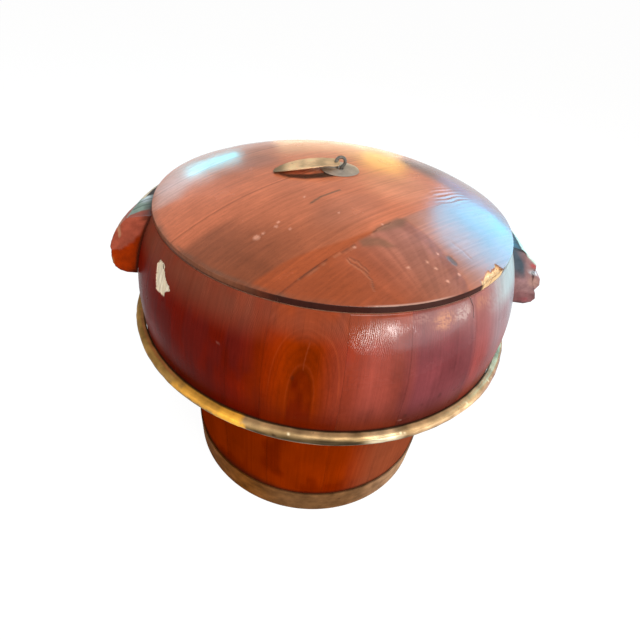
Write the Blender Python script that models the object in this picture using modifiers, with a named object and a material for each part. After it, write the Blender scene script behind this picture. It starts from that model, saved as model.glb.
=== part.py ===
"""A footed, lidded rice bucket of coopered wood with brass hoops.

The belly is a ring of curved staves that stands round a plank floor, held by a round brass waist hoop at
floor level. A second ring of staves makes the hollow foot, housed in the floor's underside and held by a
flat brass band. The domed lid is planks on two battens, and lifts off. Its brass leaf pull swings on the
eye of a split pin. Two carved lugs, pegged through the staves, are the carrying handles.

Metres, +Z up. The origin is the centre of the foot's base, and the handles lie along X.
"""

import math

import bmesh
import bpy
from mathutils import Matrix, Vector

# Fits
CLEARANCE = 0.0003
PIN_CLEARANCE = 0.0005

# Foot
FOOT_HEIGHT = 0.172
FOOT_BASE_RADIUS = 0.127
FOOT_FLARE = 0.0055
FOOT_WALL = 0.014
FOOT_HOUSING = 0.004
FOOT_STAVE_SHARES = (25, 22, 28, 24, 21)
FOOT_STAVE_ROUNDS = 3
FOOT_STAVE_START = -110.0

# Floor between the foot and the belly
FLOOR_THICKNESS = 0.016
FLOOR_SEAMS = (-0.048, 0.052)

# Belly
BELLY_HEIGHT = 0.105
RIM_RADIUS = 0.1505
BELLY_RADIUS = 0.169
BELLY_CROWN = 0.037
HOOP_SEAT_RADIUS = 0.168
BELLY_WALL = 0.013
CHIME = 0.005
CROZE_DEPTH = 0.004
BELLY_STAVE_SHARES = (9.2, 18.6, 15.5, 20, 21, 17.7, 18)
BELLY_STAVE_ROUNDS = 3
BELLY_STAVE_START = -116.0

# Brass hoops
WAIST_HOOP_HEIGHT = 0.0084
WAIST_HOOP_DEPTH = 0.008
FOOT_HOOP_HEIGHT = 0.030
FOOT_HOOP_THICKNESS = 0.0012
FOOT_HOOP_LIFT = 0.0006

# Lid
LID_RADIUS = 0.150
LID_EDGE = 0.005
LID_RISE = 0.0275
LID_DOME_POWER = 2.57
LID_GRAIN_ANGLE = 42.0
LID_SEAMS = (-0.080, 0.009, 0.078)
BATTEN_OFFSET = 0.060
BATTEN_LENGTH = 0.228
BATTEN_WIDTH = 0.018
BATTEN_DROP = 0.009
BATTEN_HOUSING = 0.004

# Brass pull on the lid
ESCUTCHEON_RADIUS = 0.0165
ESCUTCHEON_THICKNESS = 0.0008
ESCUTCHEON_FLAT = 0.8
EYE_RADIUS = 0.0038
WIRE_RADIUS = 0.0013
LEG_SPREAD = 0.0015
LEG_CLENCH = 0.010
PULL_ANGLE = 188.0
PULL_LENGTH = 0.0555
PULL_WIDTH = 0.0245
PULL_BEND = 0.007
PULL_NECK = 0.0056
PULL_THICKNESS = 0.0012
PULL_LEAN = 0.92
PULL_FULLNESS = 0.48
PULL_NECK_FADE = 8

# Carved handles
HANDLE_LENGTH = 0.103
HANDLE_HEIGHT = 0.0505
HANDLE_TOP_DROP = 0.0005
HANDLE_REACH = 0.0232
PEG_RADIUS = 0.004
PEG_ANGLE = 10.0
PEG_HEIGHT = 0.026
PEG_DEPTH = 0.008
PEG_MARGIN_ANGLE = 1.0

# Faces along curves
STAVE_STEP_ANGLE = 7.0
BELLY_STEPS = 8
WALL_STEPS = 5
HOOP_SEGMENTS = 60
HOOP_ARC_STEPS = 8
LID_SEGMENTS = 60
LID_RINGS = 9
EYE_STEPS = 20
LEAF_STEPS = 18
HANDLE_STATIONS = 12
HANDLE_SEAT_STEPS = 5
SMOOTH_ANGLE = 30.0
CARVED_SMOOTH_ANGLE = 50.0

# Outlines of the handles' ends, as (share of the reach out from the staves, share of the height), from
# the top down: three points of leaf, its drip edge, the fruit, the groove under it, and the base. Each was
# carved by eye, so the two front ends differ. Both handles run back to the same low tail.
LEFT_FRONT = (
    (0.384, 0.990), (0.767, 0.970), (0.845, 0.900), (0.948, 0.810), (0.978, 0.713), (1.000, 0.614),
    (0.991, 0.505), (0.948, 0.455), (0.909, 0.337), (0.836, 0.218), (0.746, 0.139), (0.591, 0.070),
    (0.358, 0.016),
)  # fmt: skip
RIGHT_FRONT = (
    (0.371, 0.980), (0.793, 0.808), (0.720, 0.743), (0.586, 0.683), (0.772, 0.624), (0.901, 0.545),
    (0.901, 0.436), (0.767, 0.337), (0.707, 0.297), (0.793, 0.238), (0.819, 0.168), (0.703, 0.079),
    (0.444, 0.012),
)  # fmt: skip
TAIL = (
    (0.103, 0.950), (0.164, 0.890), (0.181, 0.840), (0.185, 0.780), (0.259, 0.700), (0.349, 0.605),
    (0.379, 0.505), (0.353, 0.445), (0.362, 0.357), (0.336, 0.257), (0.284, 0.168), (0.198, 0.085),
    (0.099, 0.024),
)  # fmt: skip
LEAF_POINTS = 4
LEFT_LEAF_SWEEP = 0.66
RIGHT_LEAF_SWEEP = 0.42

# Places worked out from the sizes above
FOOT_TOP_RADIUS = FOOT_BASE_RADIUS + FOOT_FLARE
FLOOR_TOP = FOOT_HEIGHT + FLOOR_THICKNESS
RIM_HEIGHT = FOOT_HEIGHT + BELLY_HEIGHT
CROWN_HEIGHT = FOOT_HEIGHT + BELLY_CROWN
HOOP_HEIGHT = FOOT_HEIGHT + FLOOR_THICKNESS / 2
HOOP_SEAT_TOP = HOOP_HEIGHT + WAIST_HOOP_HEIGHT / 2 + CLEARANCE
FLOOR_WALL_RADIUS = HOOP_SEAT_RADIUS - BELLY_WALL
LID_UNDERSIDE = RIM_HEIGHT + CLEARANCE
LID_EDGE_TOP = LID_UNDERSIDE + LID_EDGE
LID_TOP = LID_EDGE_TOP + LID_RISE
ESCUTCHEON_BASE = LID_TOP + CLEARANCE
PIN_HOLE_RADIUS = LEG_SPREAD + WIRE_RADIUS + PIN_CLEARANCE
EYE_HEIGHT = ESCUTCHEON_BASE + ESCUTCHEON_THICKNESS + EYE_RADIUS + WIRE_RADIUS
HANDLE_TOP = RIM_HEIGHT - HANDLE_TOP_DROP
HANDLE_BASE = HANDLE_TOP - HANDLE_HEIGHT
HANDLES = {
    "right": (0.0, -1, RIGHT_FRONT, RIGHT_LEAF_SWEEP),
    "left": (180.0, 1, LEFT_FRONT, LEFT_LEAF_SWEEP),
}


def clear_scene():
    for obj in list(bpy.data.objects):
        bpy.data.objects.remove(obj, do_unlink=True)


def new_collection(name):
    collection = bpy.data.collections.new(name)
    bpy.context.scene.collection.children.link(collection)
    return collection


def new_material(name, colour, roughness, metallic):
    material = bpy.data.materials.new(name)
    material.use_nodes = True
    shader = material.node_tree.nodes["Principled BSDF"]
    shader.inputs["Base Color"].default_value = (*colour, 1.0)
    shader.inputs["Roughness"].default_value = roughness
    shader.inputs["Metallic"].default_value = metallic
    return material


def add_object(name, data, collection, material=None):
    obj = bpy.data.objects.new(name, data)
    collection.objects.link(obj)
    if material:
        data.materials.append(material)
    return obj


def mesh_from(bm, name, smooth_angle=SMOOTH_ANGLE):
    """The bmesh as a mesh with its faces pointing out, shaded smooth across shallow edges."""
    bmesh.ops.recalc_face_normals(bm, faces=bm.faces)
    mesh = bpy.data.meshes.new(name)
    bm.to_mesh(mesh)
    bm.free()
    mesh.shade_smooth()
    mesh.set_sharp_from_angle(angle=math.radians(smooth_angle))
    return mesh


def add_cutter(name, bm, collection):
    cutter = add_object(name, mesh_from(bm, name), collection)
    cutter.hide_render = True
    cutter.display_type = "WIRE"
    return cutter


def cut(obj, cutter):
    modifier = obj.modifiers.new("cut_" + cutter.name, "BOOLEAN")
    modifier.operation = "DIFFERENCE"
    modifier.object = cutter


def polar(radius, angle, height):
    """A point at this radius and height, with the angle in degrees from +X."""
    turn = math.radians(angle)
    return Vector((radius * math.cos(turn), radius * math.sin(turn), height))


def mix(a, b, share):
    return a + (b - a) * share


def sector_mesh(name, profile, start, sweep):
    """A closed profile of (radius, height) points swept round Z through part of a turn, as a stave is."""
    steps = max(2, math.ceil(sweep / STAVE_STEP_ANGLE))
    bm = bmesh.new()
    face = bm.faces.new([bm.verts.new(polar(radius, start, height)) for radius, height in profile])
    geometry = [face, *face.edges, *face.verts]
    turn = math.radians(sweep)
    bmesh.ops.spin(bm, geom=geometry, cent=(0, 0, 0), axis=(0, 0, 1), angle=turn, steps=steps)
    return mesh_from(bm, name)


def turned_bmesh(profile, segments):
    """A profile from the axis out and back to the axis, turned into a solid round Z."""
    bm = bmesh.new()
    verts = [bm.verts.new((radius, 0, height)) for radius, height in profile]
    edges = [bm.edges.new(pair) for pair in zip(verts, verts[1:])]
    bmesh.ops.spin(
        bm, geom=verts + edges, axis=(0, 0, 1), angle=math.tau, steps=segments, use_merge=True
    )
    bmesh.ops.remove_doubles(bm, verts=bm.verts, dist=CLEARANCE / 10)
    bmesh.ops.dissolve_degenerate(bm, edges=bm.edges, dist=CLEARANCE / 10)
    return bm


def turned_ring(name, profile, segments, collection, material):
    """A ring turned round Z by a Screw modifier from a closed profile that runs down its outer side."""
    mesh = bpy.data.meshes.new(name)
    count = len(profile)
    edges = [(i, (i + 1) % count) for i in range(count)]
    mesh.from_pydata([(radius, 0, height) for radius, height in profile], edges, [])
    ring = add_object(name, mesh, collection, material)
    screw = ring.modifiers.new("turn", "SCREW")
    screw.axis = "Z"
    screw.steps = segments
    screw.render_steps = segments
    screw.use_merge_vertices = True
    screw.merge_threshold = CLEARANCE / 10
    screw.use_smooth_shade = True
    return ring


def box_bmesh(size, matrix):
    bm = bmesh.new()
    bmesh.ops.create_cube(bm, size=1.0, matrix=matrix @ Matrix.Diagonal((*size, 1.0)))
    return bm


def rod_bmesh(radius, start, end, sides=12):
    """A round rod between two points."""
    along = end - start
    turn = along.to_track_quat("Z", "Y").to_matrix().to_4x4()
    bm = bmesh.new()
    bmesh.ops.create_cone(
        bm, cap_ends=True, segments=sides, radius1=radius, radius2=radius, depth=along.length,
        matrix=Matrix.Translation((start + end) / 2) @ turn,
    )  # fmt: skip
    return bm


def stave_angles(shares, rounds, start):
    """(start, end) of each stave in degrees: the mix of narrow and wide staves, gone round again."""
    widths = list(shares) * rounds
    scale = 360.0 / sum(widths)
    angles = []
    for width in widths:
        angles.append((start, start + width * scale))
        start += width * scale
    return angles


def plank_bounds(seams, reach):
    """(low, high) of each plank across the grain, with half a clearance left at each seam."""
    edges = [-reach, *seams, reach]
    gap = CLEARANCE / 2
    return [(low + gap, high - gap) for low, high in zip(edges, edges[1:])]


def plank_mesh(name, bm, across, low, high):
    """The part of a turned solid between two planes square to the direction across, which it uses up."""
    for place, keep in ((low, 1), (high, -1)):
        geometry = [*bm.verts, *bm.edges, *bm.faces]
        sliced = bmesh.ops.bisect_plane(
            bm, geom=geometry, plane_co=across * place, plane_no=across * keep, clear_inner=True
        )
        edges = [item for item in sliced["geom_cut"] if isinstance(item, bmesh.types.BMEdge)]
        if edges:
            bmesh.ops.edgeloop_fill(bm, edges=edges)
    return mesh_from(bm, name)


def belly_radius(height):
    """Outer radius of the belly: straight behind the hoop, out to the crown and in to the rim."""
    if height <= HOOP_SEAT_TOP:
        return HOOP_SEAT_RADIUS
    if height < CROWN_HEIGHT:
        share = (CROWN_HEIGHT - height) / (CROWN_HEIGHT - HOOP_SEAT_TOP)
        return BELLY_RADIUS - (BELLY_RADIUS - HOOP_SEAT_RADIUS) * share**2
    share = (height - CROWN_HEIGHT) / (RIM_HEIGHT - CROWN_HEIGHT)
    return BELLY_RADIUS - (BELLY_RADIUS - RIM_RADIUS) * share**2


def foot_radius(height):
    return mix(FOOT_BASE_RADIUS, FOOT_TOP_RADIUS, height / FOOT_HEIGHT)


def belly_profile():
    """Outline of a belly stave: up the outside, the rim, and the inside with the groove for the floor."""
    outside = [(HOOP_SEAT_RADIUS, FOOT_HEIGHT - CHIME)]
    for step in range(BELLY_STEPS + 1):
        height = mix(HOOP_SEAT_TOP, RIM_HEIGHT, step / BELLY_STEPS)
        outside.append((belly_radius(height), height))
    inside = []
    for step in range(WALL_STEPS):
        height = mix(RIM_HEIGHT, FLOOR_TOP + CLEARANCE, step / WALL_STEPS)
        inside.append((belly_radius(height) - BELLY_WALL, height))
    groove = FLOOR_WALL_RADIUS + CROZE_DEPTH
    inside += [
        (FLOOR_WALL_RADIUS, FLOOR_TOP + CLEARANCE),
        (groove, FLOOR_TOP + CLEARANCE),
        (groove, FOOT_HEIGHT - CLEARANCE),
        (FLOOR_WALL_RADIUS, FOOT_HEIGHT - CLEARANCE),
        (FLOOR_WALL_RADIUS, FOOT_HEIGHT - CHIME),
    ]
    return outside + inside


def build_belly(parts, material):
    """The belly staves, with their angles."""
    joint = math.degrees(CLEARANCE / BELLY_RADIUS)
    staves = []
    angles = stave_angles(BELLY_STAVE_SHARES, BELLY_STAVE_ROUNDS, BELLY_STAVE_START)
    for number, (start, end) in enumerate(angles, 1):
        name = f"belly_stave_{number:02d}"
        mesh = sector_mesh(name, belly_profile(), start + joint / 2, end - start - joint)
        staves.append((add_object(name, mesh, parts, material), start, end))
    return staves


def build_foot(parts, material):
    top = FOOT_HEIGHT + FOOT_HOUSING - CLEARANCE
    profile = [
        (FOOT_BASE_RADIUS, 0.0),
        (foot_radius(top), top),
        (foot_radius(top) - FOOT_WALL, top),
        (FOOT_BASE_RADIUS - FOOT_WALL, 0.0),
    ]
    joint = math.degrees(CLEARANCE / FOOT_BASE_RADIUS)
    angles = stave_angles(FOOT_STAVE_SHARES, FOOT_STAVE_ROUNDS, FOOT_STAVE_START)
    for number, (start, end) in enumerate(angles, 1):
        name = f"foot_stave_{number:02d}"
        mesh = sector_mesh(name, profile, start + joint / 2, end - start - joint)
        add_object(name, mesh, parts, material)


def build_floor(parts, material):
    """Three planks whose rim fits the staves' groove, with a ring groove below that houses the foot."""
    radius = FLOOR_WALL_RADIUS + CROZE_DEPTH - CLEARANCE
    housing_top = FOOT_HEIGHT + FOOT_HOUSING
    outer = foot_radius(housing_top) + CLEARANCE
    inner = foot_radius(FOOT_HEIGHT) - FOOT_WALL - CLEARANCE
    profile = [
        (0.0, FLOOR_TOP),
        (radius, FLOOR_TOP),
        (radius, FOOT_HEIGHT),
        (outer, FOOT_HEIGHT),
        (outer, housing_top),
        (inner, housing_top),
        (inner, FOOT_HEIGHT),
        (0.0, FOOT_HEIGHT),
    ]
    across = Vector((1, 0, 0))
    for number, (low, high) in enumerate(plank_bounds(FLOOR_SEAMS, radius), 1):
        name = f"floor_board_{number}"
        mesh = plank_mesh(name, turned_bmesh(profile, LID_SEGMENTS), across, low, high)
        add_object(name, mesh, parts, material)


def build_hoops(parts, brass):
    """The half-round waist hoop, and the flat band that follows the foot's taper."""
    seat = HOOP_SEAT_RADIUS + CLEARANCE
    half = WAIST_HOOP_HEIGHT / 2
    flat = WAIST_HOOP_DEPTH - half
    waist = [(seat, HOOP_HEIGHT + half)]
    for step in range(HOOP_ARC_STEPS + 1):
        turn = math.pi / 2 - math.pi * step / HOOP_ARC_STEPS
        waist.append((seat + flat + half * math.cos(turn), HOOP_HEIGHT + half * math.sin(turn)))
    waist.append((seat, HOOP_HEIGHT - half))
    turned_ring("waist_hoop", waist, HOOP_SEGMENTS, parts, brass)

    top = FOOT_HOOP_LIFT + FOOT_HOOP_HEIGHT
    band_top = foot_radius(top) + CLEARANCE
    band_base = foot_radius(FOOT_HOOP_LIFT) + CLEARANCE
    band = [
        (band_top, top),
        (band_top + FOOT_HOOP_THICKNESS, top),
        (band_base + FOOT_HOOP_THICKNESS, FOOT_HOOP_LIFT),
        (band_base, FOOT_HOOP_LIFT),
    ]
    turned_ring("foot_hoop", band, HOOP_SEGMENTS, parts, brass)


def lid_height(radius):
    """Height of the lid's domed top at this radius."""
    return LID_EDGE_TOP + LID_RISE * (1 - (radius / LID_RADIUS) ** LID_DOME_POWER)


def build_lid(parts, cutters, wood, lid_axis):
    """The domed planks, and the two battens housed across their underside."""
    rings = [LID_RADIUS * ring / LID_RINGS for ring in range(LID_RINGS + 1)]
    profile = [(radius, lid_height(radius)) for radius in rings]
    profile += [(LID_RADIUS, LID_UNDERSIDE), (0.0, LID_UNDERSIDE)]
    grain = Matrix.Rotation(math.radians(LID_GRAIN_ANGLE), 4, "Z")
    across = grain @ Vector((0, 1, 0))

    slots = []
    for number, side in enumerate((-1, 1), 1):
        place = grain @ Matrix.Translation((side * BATTEN_OFFSET, 0, LID_UNDERSIDE))
        height = BATTEN_DROP + BATTEN_HOUSING - CLEARANCE
        middle = Matrix.Translation((0, 0, height / 2 - BATTEN_DROP))
        batten_mesh = mesh_from(box_bmesh((BATTEN_WIDTH, BATTEN_LENGTH, height), place @ middle), "batten")
        batten = add_object(f"lid_batten_{number}", batten_mesh, parts, wood)
        batten.parent = lid_axis
        size = (BATTEN_WIDTH + 2 * CLEARANCE, BATTEN_LENGTH + 2 * CLEARANCE, 2 * BATTEN_HOUSING)
        slots.append(add_cutter(f"batten_slot_{number}", box_bmesh(size, place), cutters))
    below = Vector((0, 0, LID_UNDERSIDE - LID_EDGE))
    above = Vector((0, 0, LID_TOP + LID_EDGE))
    pin_hole = add_cutter("pin_hole", rod_bmesh(PIN_HOLE_RADIUS, below, above), cutters)

    for number, (low, high) in enumerate(plank_bounds(LID_SEAMS, LID_RADIUS), 1):
        name = f"lid_board_{number}"
        mesh = plank_mesh(name, turned_bmesh(profile, LID_SEGMENTS), across, low, high)
        board = add_object(name, mesh, parts, wood)
        board.parent = lid_axis
        for slot in slots:
            cut(board, slot)
        if low < PIN_HOLE_RADIUS and high > -PIN_HOLE_RADIUS:
            cut(board, pin_hole)


def build_escutcheon(parts, brass, lid_axis):
    top = ESCUTCHEON_BASE + ESCUTCHEON_THICKNESS
    edge = ESCUTCHEON_BASE + ESCUTCHEON_THICKNESS / 2
    profile = [
        (PIN_HOLE_RADIUS, top),
        (ESCUTCHEON_RADIUS * ESCUTCHEON_FLAT, top),
        (ESCUTCHEON_RADIUS, edge),
        (ESCUTCHEON_RADIUS, ESCUTCHEON_BASE),
        (PIN_HOLE_RADIUS, ESCUTCHEON_BASE),
    ]
    plate = turned_ring("pull_escutcheon", profile, HOOP_SEGMENTS // 2, parts, brass)
    plate.parent = lid_axis


def build_split_pin(parts, brass, lid_axis):
    """One wire: up a leg, round the eye and down the other leg, with both ends clenched under the lid."""
    opening = math.asin(LEG_SPREAD / EYE_RADIUS)
    clench = LID_UNDERSIDE - WIRE_RADIUS - CLEARANCE
    points = [(-LEG_SPREAD - LEG_CLENCH, 0, clench), (-LEG_SPREAD, 0, clench)]
    for step in range(EYE_STEPS + 1):
        turn = mix(-math.pi / 2 - opening, -2.5 * math.pi + opening, step / EYE_STEPS)
        points.append((EYE_RADIUS * math.cos(turn), 0, EYE_HEIGHT + EYE_RADIUS * math.sin(turn)))
    points += [(LEG_SPREAD, 0, clench), (LEG_SPREAD + LEG_CLENCH, 0, clench)]

    curve = bpy.data.curves.new("split_pin", "CURVE")
    curve.dimensions = "3D"
    curve.bevel_depth = WIRE_RADIUS
    curve.bevel_resolution = 2
    curve.use_fill_caps = True
    spline = curve.splines.new("POLY")
    spline.points.add(len(points) - 1)
    for knot, point in zip(spline.points, points):
        knot.co = (*point, 1.0)
    pin = add_object("split_pin", curve, parts, brass)
    pin.rotation_euler.z = math.radians(PULL_ANGLE)
    pin.parent = lid_axis


def leaf_half_width(share):
    """Half the leaf's width from its neck, at share 0, to its tip: widest near the middle."""
    swell = math.sin(math.pi * share**PULL_LEAN) ** PULL_FULLNESS
    return PULL_WIDTH / 2 * swell + PULL_NECK / 2 * (1 - share) ** PULL_NECK_FADE


def add_outline(curve, points):
    spline = curve.splines.new("POLY")
    spline.use_cyclic_u = True
    spline.points.add(len(points) - 1)
    for knot, point in zip(spline.points, points):
        knot.co = (*point, 0.0, 1.0)


def build_pull(parts, brass, pull_axis):
    """The flat leaf, its tip bent to one side. A hole near its neck runs on the eye's wire, and at rest the
    tip lies on the lid.
    """
    neck = EYE_RADIUS - PULL_NECK / 2
    hole_radius = WIRE_RADIUS + PIN_CLEARANCE
    near_edge = []
    far_edge = []
    for step in range(LEAF_STEPS):
        share = step / LEAF_STEPS
        along = mix(neck, PULL_LENGTH, share)
        midline = PULL_BEND * share**3
        near_edge.append((along, midline + leaf_half_width(share)))
        far_edge.append((along, midline - leaf_half_width(share)))
    outline = near_edge + [(PULL_LENGTH, PULL_BEND)] + far_edge[::-1]
    hole = []
    for step in range(LEAF_STEPS):
        turn = math.tau * step / LEAF_STEPS
        hole.append((EYE_RADIUS + hole_radius * math.cos(turn), hole_radius * math.sin(turn)))

    curve = bpy.data.curves.new("leaf_pull", "CURVE")
    curve.dimensions = "2D"
    curve.fill_mode = "BOTH"
    curve.extrude = PULL_THICKNESS / 2
    add_outline(curve, outline)
    add_outline(curve, hole)
    leaf = add_object("leaf_pull", curve, parts, brass)
    tip_height = lid_height(math.hypot(PULL_LENGTH, PULL_BEND)) + PULL_THICKNESS / 2 + CLEARANCE
    leaf.parent = pull_axis
    leaf.rotation_euler.y = math.asin((EYE_HEIGHT - tip_height) / PULL_LENGTH)


def handle_section(front, leaf_sweep, share):
    """(radius, height) points round a handle at this share of its length, down outside and up its seat."""
    section = []
    for index, (outline, tail) in enumerate(zip(front, TAIL)):
        sweep = share**leaf_sweep if index < LEAF_POINTS else share
        reach = HANDLE_REACH * mix(outline[0], tail[0], sweep)
        height = HANDLE_BASE + HANDLE_HEIGHT * mix(outline[1], tail[1], sweep)
        section.append((belly_radius(height) + CLEARANCE + reach, height))
    for step in range(HANDLE_SEAT_STEPS + 1):
        height = mix(HANDLE_BASE, HANDLE_TOP, step / HANDLE_SEAT_STEPS)
        section.append((belly_radius(height) + CLEARANCE, height))
    return section


def handle_mesh(name, facing, turn, front, leaf_sweep):
    """A lug lofted round the belly from its carved front end to its tail."""
    half_angle = math.degrees(HANDLE_LENGTH / 2 / BELLY_RADIUS)
    bm = bmesh.new()
    loops = []
    for station in range(HANDLE_STATIONS + 1):
        share = station / HANDLE_STATIONS
        angle = facing + turn * mix(half_angle, -half_angle, share)
        section = handle_section(front, leaf_sweep, share)
        verts = [bm.verts.new(polar(radius, angle, height)) for radius, height in section]
        loops.append([bm.edges.new(pair) for pair in zip(verts, verts[1:] + verts[:1])])
    for loop, following in zip(loops, loops[1:]):
        bmesh.ops.bridge_loops(bm, edges=loop + following)
    for end in (loops[0], loops[-1]):
        bmesh.ops.edgeloop_fill(bm, edges=end)
    return mesh_from(bm, name, CARVED_SMOOTH_ANGLE)


def build_handles(parts, cutters, wood, paint, staves):
    """Two carved lugs, each held by two pegs driven from inside the bucket."""
    height = HANDLE_BASE + PEG_HEIGHT
    wall_inside = belly_radius(height) - BELLY_WALL
    wall_outside = belly_radius(height)
    hole_half_angle = math.degrees((PEG_RADIUS + CLEARANCE) / wall_inside) + PEG_MARGIN_ANGLE
    for side, (facing, turn, front, leaf_sweep) in HANDLES.items():
        mesh = handle_mesh(f"handle_{side}", facing, turn, front, leaf_sweep)
        handle = add_object(f"handle_{side}", mesh, parts, paint)
        for number, offset in enumerate((-PEG_ANGLE, PEG_ANGLE), 1):
            angle = facing + offset
            inner_end = polar(wall_inside, angle, height)
            outer_end = polar(wall_outside + PEG_DEPTH, angle, height)
            name = f"handle_{side}_peg_{number}"
            add_object(name, mesh_from(rod_bmesh(PEG_RADIUS, inner_end, outer_end), name), parts, wood)
            start = polar(wall_inside - BELLY_WALL, angle, height)
            end = polar(wall_outside + PEG_DEPTH + CLEARANCE, angle, height)
            hole = add_cutter(name + "_hole", rod_bmesh(PEG_RADIUS + CLEARANCE, start, end), cutters)
            cut(handle, hole)
            for stave, first, last in staves:
                off_centre = abs((angle - (first + last) / 2 + 180) % 360 - 180)
                if off_centre < (last - first) / 2 + hole_half_angle:
                    cut(stave, hole)


def add_axis(name, height, angle=0.0, parent=None):
    axis = bpy.data.objects.new(name, None)
    bpy.context.scene.collection.objects.link(axis)
    axis.location.z = height
    axis.rotation_euler.z = math.radians(angle)
    axis.parent = parent
    return axis


def main():
    clear_scene()
    parts = new_collection("rice_bucket")
    cutters = new_collection("rice_bucket_cutters")
    lacquer = new_material("red_lacquer", (0.30, 0.055, 0.018), 0.3, 0.0)
    bare_wood = new_material("bare_wood", (0.42, 0.24, 0.11), 0.65, 0.0)
    paint = new_material("painted_carving", (0.33, 0.07, 0.03), 0.45, 0.0)
    brass = new_material("aged_brass", (0.42, 0.29, 0.11), 0.35, 1.0)

    staves = build_belly(parts, lacquer)
    build_foot(parts, lacquer)
    build_floor(parts, bare_wood)
    build_hoops(parts, brass)
    build_handles(parts, cutters, bare_wood, paint, staves)

    lid_axis = add_axis("lid_axis", 0.0)
    build_lid(parts, cutters, lacquer, lid_axis)
    build_escutcheon(parts, brass, lid_axis)
    build_split_pin(parts, brass, lid_axis)
    build_pull(parts, brass, add_axis("pull_axis", EYE_HEIGHT, PULL_ANGLE, lid_axis))


main()
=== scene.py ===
"""Looks for the footed wedding rice bucket: worn lacquer over staves and planks, aged brass, painted carving.

Metres, +Z up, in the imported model's frame: the origin is the centre of the foot's base and the handles lie
along X. Each solid that shows is replaced by a finer piece of the same form, a grid of points that carries
its own tints, growth rings and wear. The shaders add the fine grain.
"""

import math

import bpy
import numpy as np
from mathutils import Matrix, Vector


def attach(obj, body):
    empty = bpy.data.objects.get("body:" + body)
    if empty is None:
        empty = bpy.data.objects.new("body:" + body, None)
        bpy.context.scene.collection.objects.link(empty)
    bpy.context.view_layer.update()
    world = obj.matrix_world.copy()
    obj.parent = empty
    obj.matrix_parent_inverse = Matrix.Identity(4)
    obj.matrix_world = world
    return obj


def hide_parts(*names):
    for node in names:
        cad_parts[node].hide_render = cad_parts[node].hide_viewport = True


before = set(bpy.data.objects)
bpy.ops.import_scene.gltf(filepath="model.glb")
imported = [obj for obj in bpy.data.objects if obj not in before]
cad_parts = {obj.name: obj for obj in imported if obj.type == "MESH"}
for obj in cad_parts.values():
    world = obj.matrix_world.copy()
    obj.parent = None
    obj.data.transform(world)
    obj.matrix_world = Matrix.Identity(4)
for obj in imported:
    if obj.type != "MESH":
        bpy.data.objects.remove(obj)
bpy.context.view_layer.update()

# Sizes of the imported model
CLEARANCE = 0.0003
FOOT_HEIGHT = 0.172
FOOT_BASE_RADIUS = 0.127
FOOT_TOP_RADIUS = 0.1325
FOOT_WALL = 0.014
FOOT_TOP = 0.1757
FOOT_STAVE_SHARES = (25, 22, 28, 24, 21)
FOOT_STAVE_START = -110.0
FLOOR_TOP = 0.188
RIM_HEIGHT = 0.277
RIM_RADIUS = 0.1505
BELLY_BASE = 0.167
BELLY_RADIUS = 0.169
CROWN_HEIGHT = 0.209
HOOP_SEAT_RADIUS = 0.168
HOOP_SEAT_TOP = 0.1845
BELLY_WALL = 0.013
CROZE_DEPTH = 0.004
BELLY_STAVE_SHARES = (9.2, 18.6, 15.5, 20, 21, 17.7, 18)
BELLY_STAVE_START = -116.0
STAVE_ROUNDS = 3
HOOP_HEIGHT = 0.180
WAIST_HOOP_HEIGHT = 0.0084
WAIST_HOOP_DEPTH = 0.008
FOOT_HOOP_HEIGHT = 0.030
FOOT_HOOP_THICKNESS = 0.0012
FOOT_HOOP_LIFT = 0.0006
LID_RADIUS = 0.150
LID_UNDERSIDE = 0.2773
LID_EDGE_TOP = 0.2823
LID_RISE = 0.0275
LID_DOME_POWER = 2.57
LID_GRAIN_ANGLE = 42.0
LID_SEAMS = (-0.080, 0.009, 0.078)
BATTEN_OFFSET = 0.060
BATTEN_LENGTH = 0.228
BATTEN_WIDTH = 0.018
BATTEN_DROP = 0.009
BATTEN_HOUSING = 0.0037
ESCUTCHEON_RADIUS = 0.0165
ESCUTCHEON_THICKNESS = 0.0008
ESCUTCHEON_BASE = 0.3101
PIN_HOLE_RADIUS = 0.0033
EYE_HEIGHT = 0.3160
EYE_RADIUS = 0.0038
WIRE_RADIUS = 0.0013
LEG_SPREAD = 0.0015
LEG_CLENCH = 0.010
PULL_ANGLE = 188.0
PULL_LENGTH = 0.0555
PULL_WIDTH = 0.0245
PULL_BEND = 0.007
PULL_NECK = 0.0056
PULL_THICKNESS = 0.0012
PULL_LEAN = 0.92
PULL_FULLNESS = 0.48
PULL_NECK_FADE = 8
PULL_HOLE_RADIUS = 0.0018
HANDLE_LENGTH = 0.103
HANDLE_HEIGHT = 0.0505
HANDLE_BASE = 0.226
HANDLE_REACH = 0.0232
LEFT_FRONT = (
    (0.384, 0.990), (0.767, 0.970), (0.845, 0.900), (0.948, 0.810), (0.978, 0.713), (1.000, 0.614),
    (0.991, 0.505), (0.948, 0.455), (0.909, 0.337), (0.836, 0.218), (0.746, 0.139), (0.591, 0.070),
    (0.358, 0.016),
)
RIGHT_FRONT = (
    (0.371, 0.980), (0.793, 0.808), (0.720, 0.743), (0.586, 0.683), (0.772, 0.624), (0.901, 0.545),
    (0.901, 0.436), (0.767, 0.337), (0.707, 0.297), (0.793, 0.238), (0.819, 0.168), (0.703, 0.079),
    (0.444, 0.012),
)
TAIL = (
    (0.103, 0.950), (0.164, 0.890), (0.181, 0.840), (0.185, 0.780), (0.259, 0.700), (0.349, 0.605),
    (0.379, 0.505), (0.353, 0.445), (0.362, 0.357), (0.336, 0.257), (0.284, 0.168), (0.198, 0.085),
    (0.099, 0.024),
)
LEAF_POINTS = 4
LEFT_SWEEP = 0.66
RIGHT_SWEEP = 0.36
HANDLE_SEAT = 0.0001

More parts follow.
